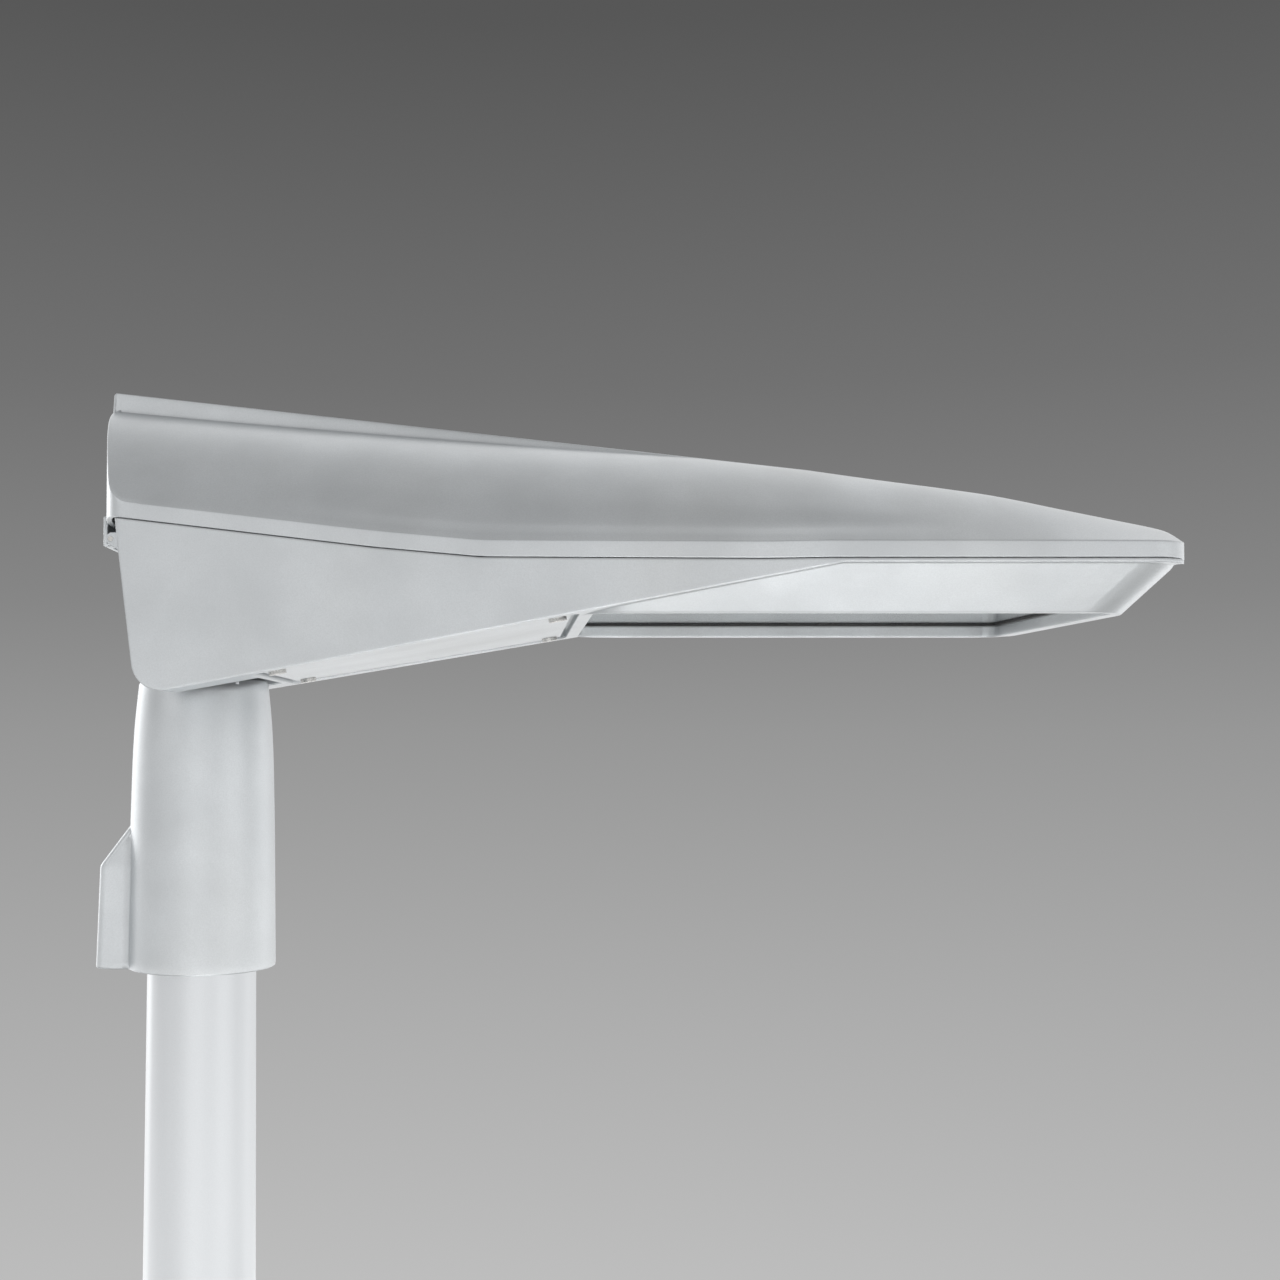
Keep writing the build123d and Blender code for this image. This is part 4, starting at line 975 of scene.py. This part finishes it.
@dataclass
class FrameDresser:
    """Gives each carried-over part its finish."""

    nodes: dict[str, bpy.types.Object]
    finishes: dict[str, bpy.types.Material]

    def dress(self) -> None:
        """Puts one finish on each node."""
        for finish, names in NODE_FINISHES.items():
            for name in names:
                mesh = self.nodes[name].data
                mesh.materials.clear()
                mesh.materials.append(self.finishes[finish])
                LOG.info("%s: %s", name, finish)


# ---- studio -----------------------------------------------------------------------


@dataclass
class Studio:
    """A pale floor, a grey backdrop that darkens upwards, and soft light."""

    floor_radius: float = 8.5
    floor_fade: float = 3.0
    backdrop: tuple[tuple[float, float], ...] = ((-0.60, 0.60), (-0.32, 0.515), (0.0, 0.31), (0.081, 0.238),
                                                 (0.21, 0.165), (0.41, 0.095), (1.0, 0.07))
    ambient: tuple[tuple[float, float], ...] = (
        (-1.0, 1.10), (-0.50, 1.15), (-0.42, 1.50), (-0.36, 2.00), (-0.28, 1.10), (-0.12, 0.88),
        (0.0, 0.60), (0.1, 0.66), (0.3, 0.52), (0.6, 0.42), (1.0, 0.41))
    glows: tuple[tuple[Colour, float, float], ...] = (
        ((0.05, 0.82, 0.57), 2.0, 0.70), ((-0.02, -1.0, -0.03), 10.0, 0.45),
        ((0.85, -0.50, -0.12), 10.0, 0.55), ((-0.75, 0.65, 0.12), 20.0, 2.0),
        ((0.85, 0.5, 0.0), 10.0, 0.5), ((0.0, 0.95, -0.2), 4.0, -0.35))

    def ramp(self, tree: bpy.types.NodeTree, height: bpy.types.NodeSocket,
             line: Line) -> bpy.types.NodeSocket:
        """A grey that follows a polyline of (height of the direction, brightness)."""
        middle = tree.nodes.new("ShaderNodeMapRange")
        middle.inputs["From Min"].default_value = -1.0
        tree.links.new(height, middle.inputs["Value"])
        node = tree.nodes.new("ShaderNodeValToRGB")
        stops = node.color_ramp.elements
        stops.remove(stops[1])
        stops[0].position = (line[0][0] + 1) / 2
        stops[0].color = (*(line[0][1],) * 3, 1)
        for at, grey in line[1:]:
            stops.new((at + 1) / 2).color = (grey, grey, grey, 1)
        tree.links.new(middle.outputs["Result"], node.inputs[0])
        return node.outputs[0]

    def lobe(self, tree: bpy.types.NodeTree, way: bpy.types.NodeSocket, aim: Colour, power: float,
             strength: float) -> bpy.types.NodeSocket:
        """Brightness round one direction: a power of the cosine of the angle to it."""
        length = math.sqrt(sum(c * c for c in aim))
        dot = tree.nodes.new("ShaderNodeVectorMath")
        dot.operation = "DOT_PRODUCT"
        dot.inputs[1].default_value = tuple(c / length for c in aim)
        tree.links.new(way, dot.inputs[0])
        value = dot.outputs["Value"]
        for operation, number in (("MAXIMUM", 0.0), ("POWER", power), ("MULTIPLY", strength)):
            node = tree.nodes.new("ShaderNodeMath")
            node.operation = operation
            node.inputs[1].default_value = number
            tree.links.new(value, node.inputs[0])
            value = node.outputs[0]
        return value

    def sky(self) -> None:
        """The surroundings: what the eye sees is the backdrop, and what lights the object is a
        softer room with a bright band behind and above, a bright front and a lamp at the left."""
        world = bpy.data.worlds.new("studio")
        bpy.context.scene.world = world
        world.use_nodes = True
        tree = world.node_tree
        tree.nodes.clear()
        way = tree.nodes.new("ShaderNodeTexCoord").outputs["Generated"]
        split = tree.nodes.new("ShaderNodeSeparateXYZ")
        tree.links.new(way, split.inputs[0])
        seen = tree.nodes.new("ShaderNodeBackground")
        tree.links.new(self.ramp(tree, split.outputs[2], self.backdrop), seen.inputs["Color"])
        light = self.ramp(tree, split.outputs[2], self.ambient)
        for aim, power, strength in self.glows:
            add = tree.nodes.new("ShaderNodeMath")
            add.operation = "ADD"
            tree.links.new(light, add.inputs[0])
            tree.links.new(self.lobe(tree, way, aim, power, strength), add.inputs[1])
            light = add.outputs[0]
        room = tree.nodes.new("ShaderNodeBackground")
        tree.links.new(light, room.inputs["Color"])
        ray = tree.nodes.new("ShaderNodeLightPath")
        blend = tree.nodes.new("ShaderNodeMixShader")
        tree.links.new(ray.outputs["Is Camera Ray"], blend.inputs[0])
        tree.links.new(room.outputs[0], blend.inputs[1])
        tree.links.new(seen.outputs[0], blend.inputs[2])
        end = tree.nodes.new("ShaderNodeOutputWorld")
        tree.links.new(blend.outputs[0], end.inputs[0])

    def floor(self) -> None:
        """A pale round floor that fades out towards its edge."""
        angle = np.linspace(0, 2 * np.pi, 96, endpoint=False)
        radius = np.array([0.0, 0.5, 1.0, 0.5, 0.0])[:, None] * self.floor_radius
        z = np.array([-0.004, -0.004, -0.004, -0.03, -0.03])[:, None] + 0 * angle
        grid = Sheet(np.stack([radius * np.cos(angle), radius * np.sin(angle), z], -1), wrap_columns=True)
        mesh = bpy.data.meshes.new("floor")
        mesh.from_pydata(grid.points.reshape(-1, 3).tolist(), [], grid.faces(0).tolist())
        graph = Graph("pale_floor")
        apart = graph.nodes.new("ShaderNodeVectorMath")
        apart.operation = "LENGTH"
        graph.links.new(graph.place, apart.inputs[0])
        fade = graph.span(apart.outputs["Value"], self.floor_radius - self.floor_fade,
                          self.floor_radius, 1.0, 0.0)
        tone = graph.mix(graph.span(graph.noise(3, 4.0), 0.3, 0.7), (0.62, 0.62, 0.61), (0.68, 0.68, 0.67))
        graph.set(Base_Color=tone, Roughness=0.8, Alpha=fade)
        graph.relief(graph.noise(90, 3.0), 0.3)
        mesh.materials.append(graph.done())
        floor = bpy.data.objects.new("floor", mesh)
        bpy.context.scene.collection.objects.link(floor)

    def lamp(self, name: str, place: Colour, target: Colour, size: tuple[float, float], power: float) -> None:
        """A soft rectangular lamp that isn't seen itself.

        Args:
            name: Its name.
            place: Where it stands, in metres.
            target: What it faces.
            size: Its width and height.
            power: Its power in watts.
        """
        data = bpy.data.lights.new(name, "AREA")
        data.shape = "RECTANGLE"
        data.size, data.size_y = size
        data.energy = power
        lamp = bpy.data.objects.new(name, data)
        bpy.context.scene.collection.objects.link(lamp)
        lamp.location = place
        away = [a - b for a, b in zip(place, target)]
        flat = math.hypot(away[0], away[1])
        lamp.rotation_euler = (math.atan2(flat, away[2]), 0, math.atan2(away[1], away[0]) + math.pi / 2)
        lamp.visible_camera = False

    def build(self) -> None:
        """Sets up the whole studio."""
        bpy.context.scene.view_settings.view_transform = "Standard"
        self.sky()
        self.floor()
        self.lamp("key", (-3.2, -2.6, 6.2), (0.1, 0, 3.2), (2.4, 2.4), 18)
        self.lamp("under", (0.35, -0.9, 2.2), (0.25, 0, 4.1), (1.6, 1.2), 22)


@dataclass
class Eye:
    """The camera: near the head, a little below its rim, looking straight across."""

    place: Colour = (0.1756, -0.925, 4.0372)
    pitch: float = 2.35
    lens: float = 45.6
    shift: tuple[float, float] = (0.1, 0.02)

    def build(self) -> None:
        """Makes the camera and uses it."""
        data = bpy.data.cameras.new("eye")
        data.lens = self.lens
        data.sensor_width = 36.0
        data.shift_x, data.shift_y = self.shift
        data.clip_start = 0.02
        eye = bpy.data.objects.new("eye", data)
        bpy.context.scene.collection.objects.link(eye)
        eye.location = self.place
        eye.rotation_euler = (math.radians(90 + self.pitch), 0, 0)
        bpy.context.scene.camera = eye


def main(frame: dict[str, object]) -> None:
    """Builds the camera, the studio, the new pieces and the finishes, in that order.
    """
    Eye().build()
    Studio().build()
    finishes = {key: finish.build() for key, finish in FINISHES.items()}
    TopCover(finish=finishes["cast"]).build()
    Latch(finish=finishes["cast"]).build()
    Spigot(finish=finishes["cast"], screw_finish=finishes["stainless"]).build()
    WeldBeads(finish=finishes["zinc"]).build()
    FrameDresser(frame["nodes"], finishes).dress()


if __name__ == "__main__":
    logging.basicConfig(level=logging.INFO, format="%(message)s")
    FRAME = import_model()
    main(FRAME)
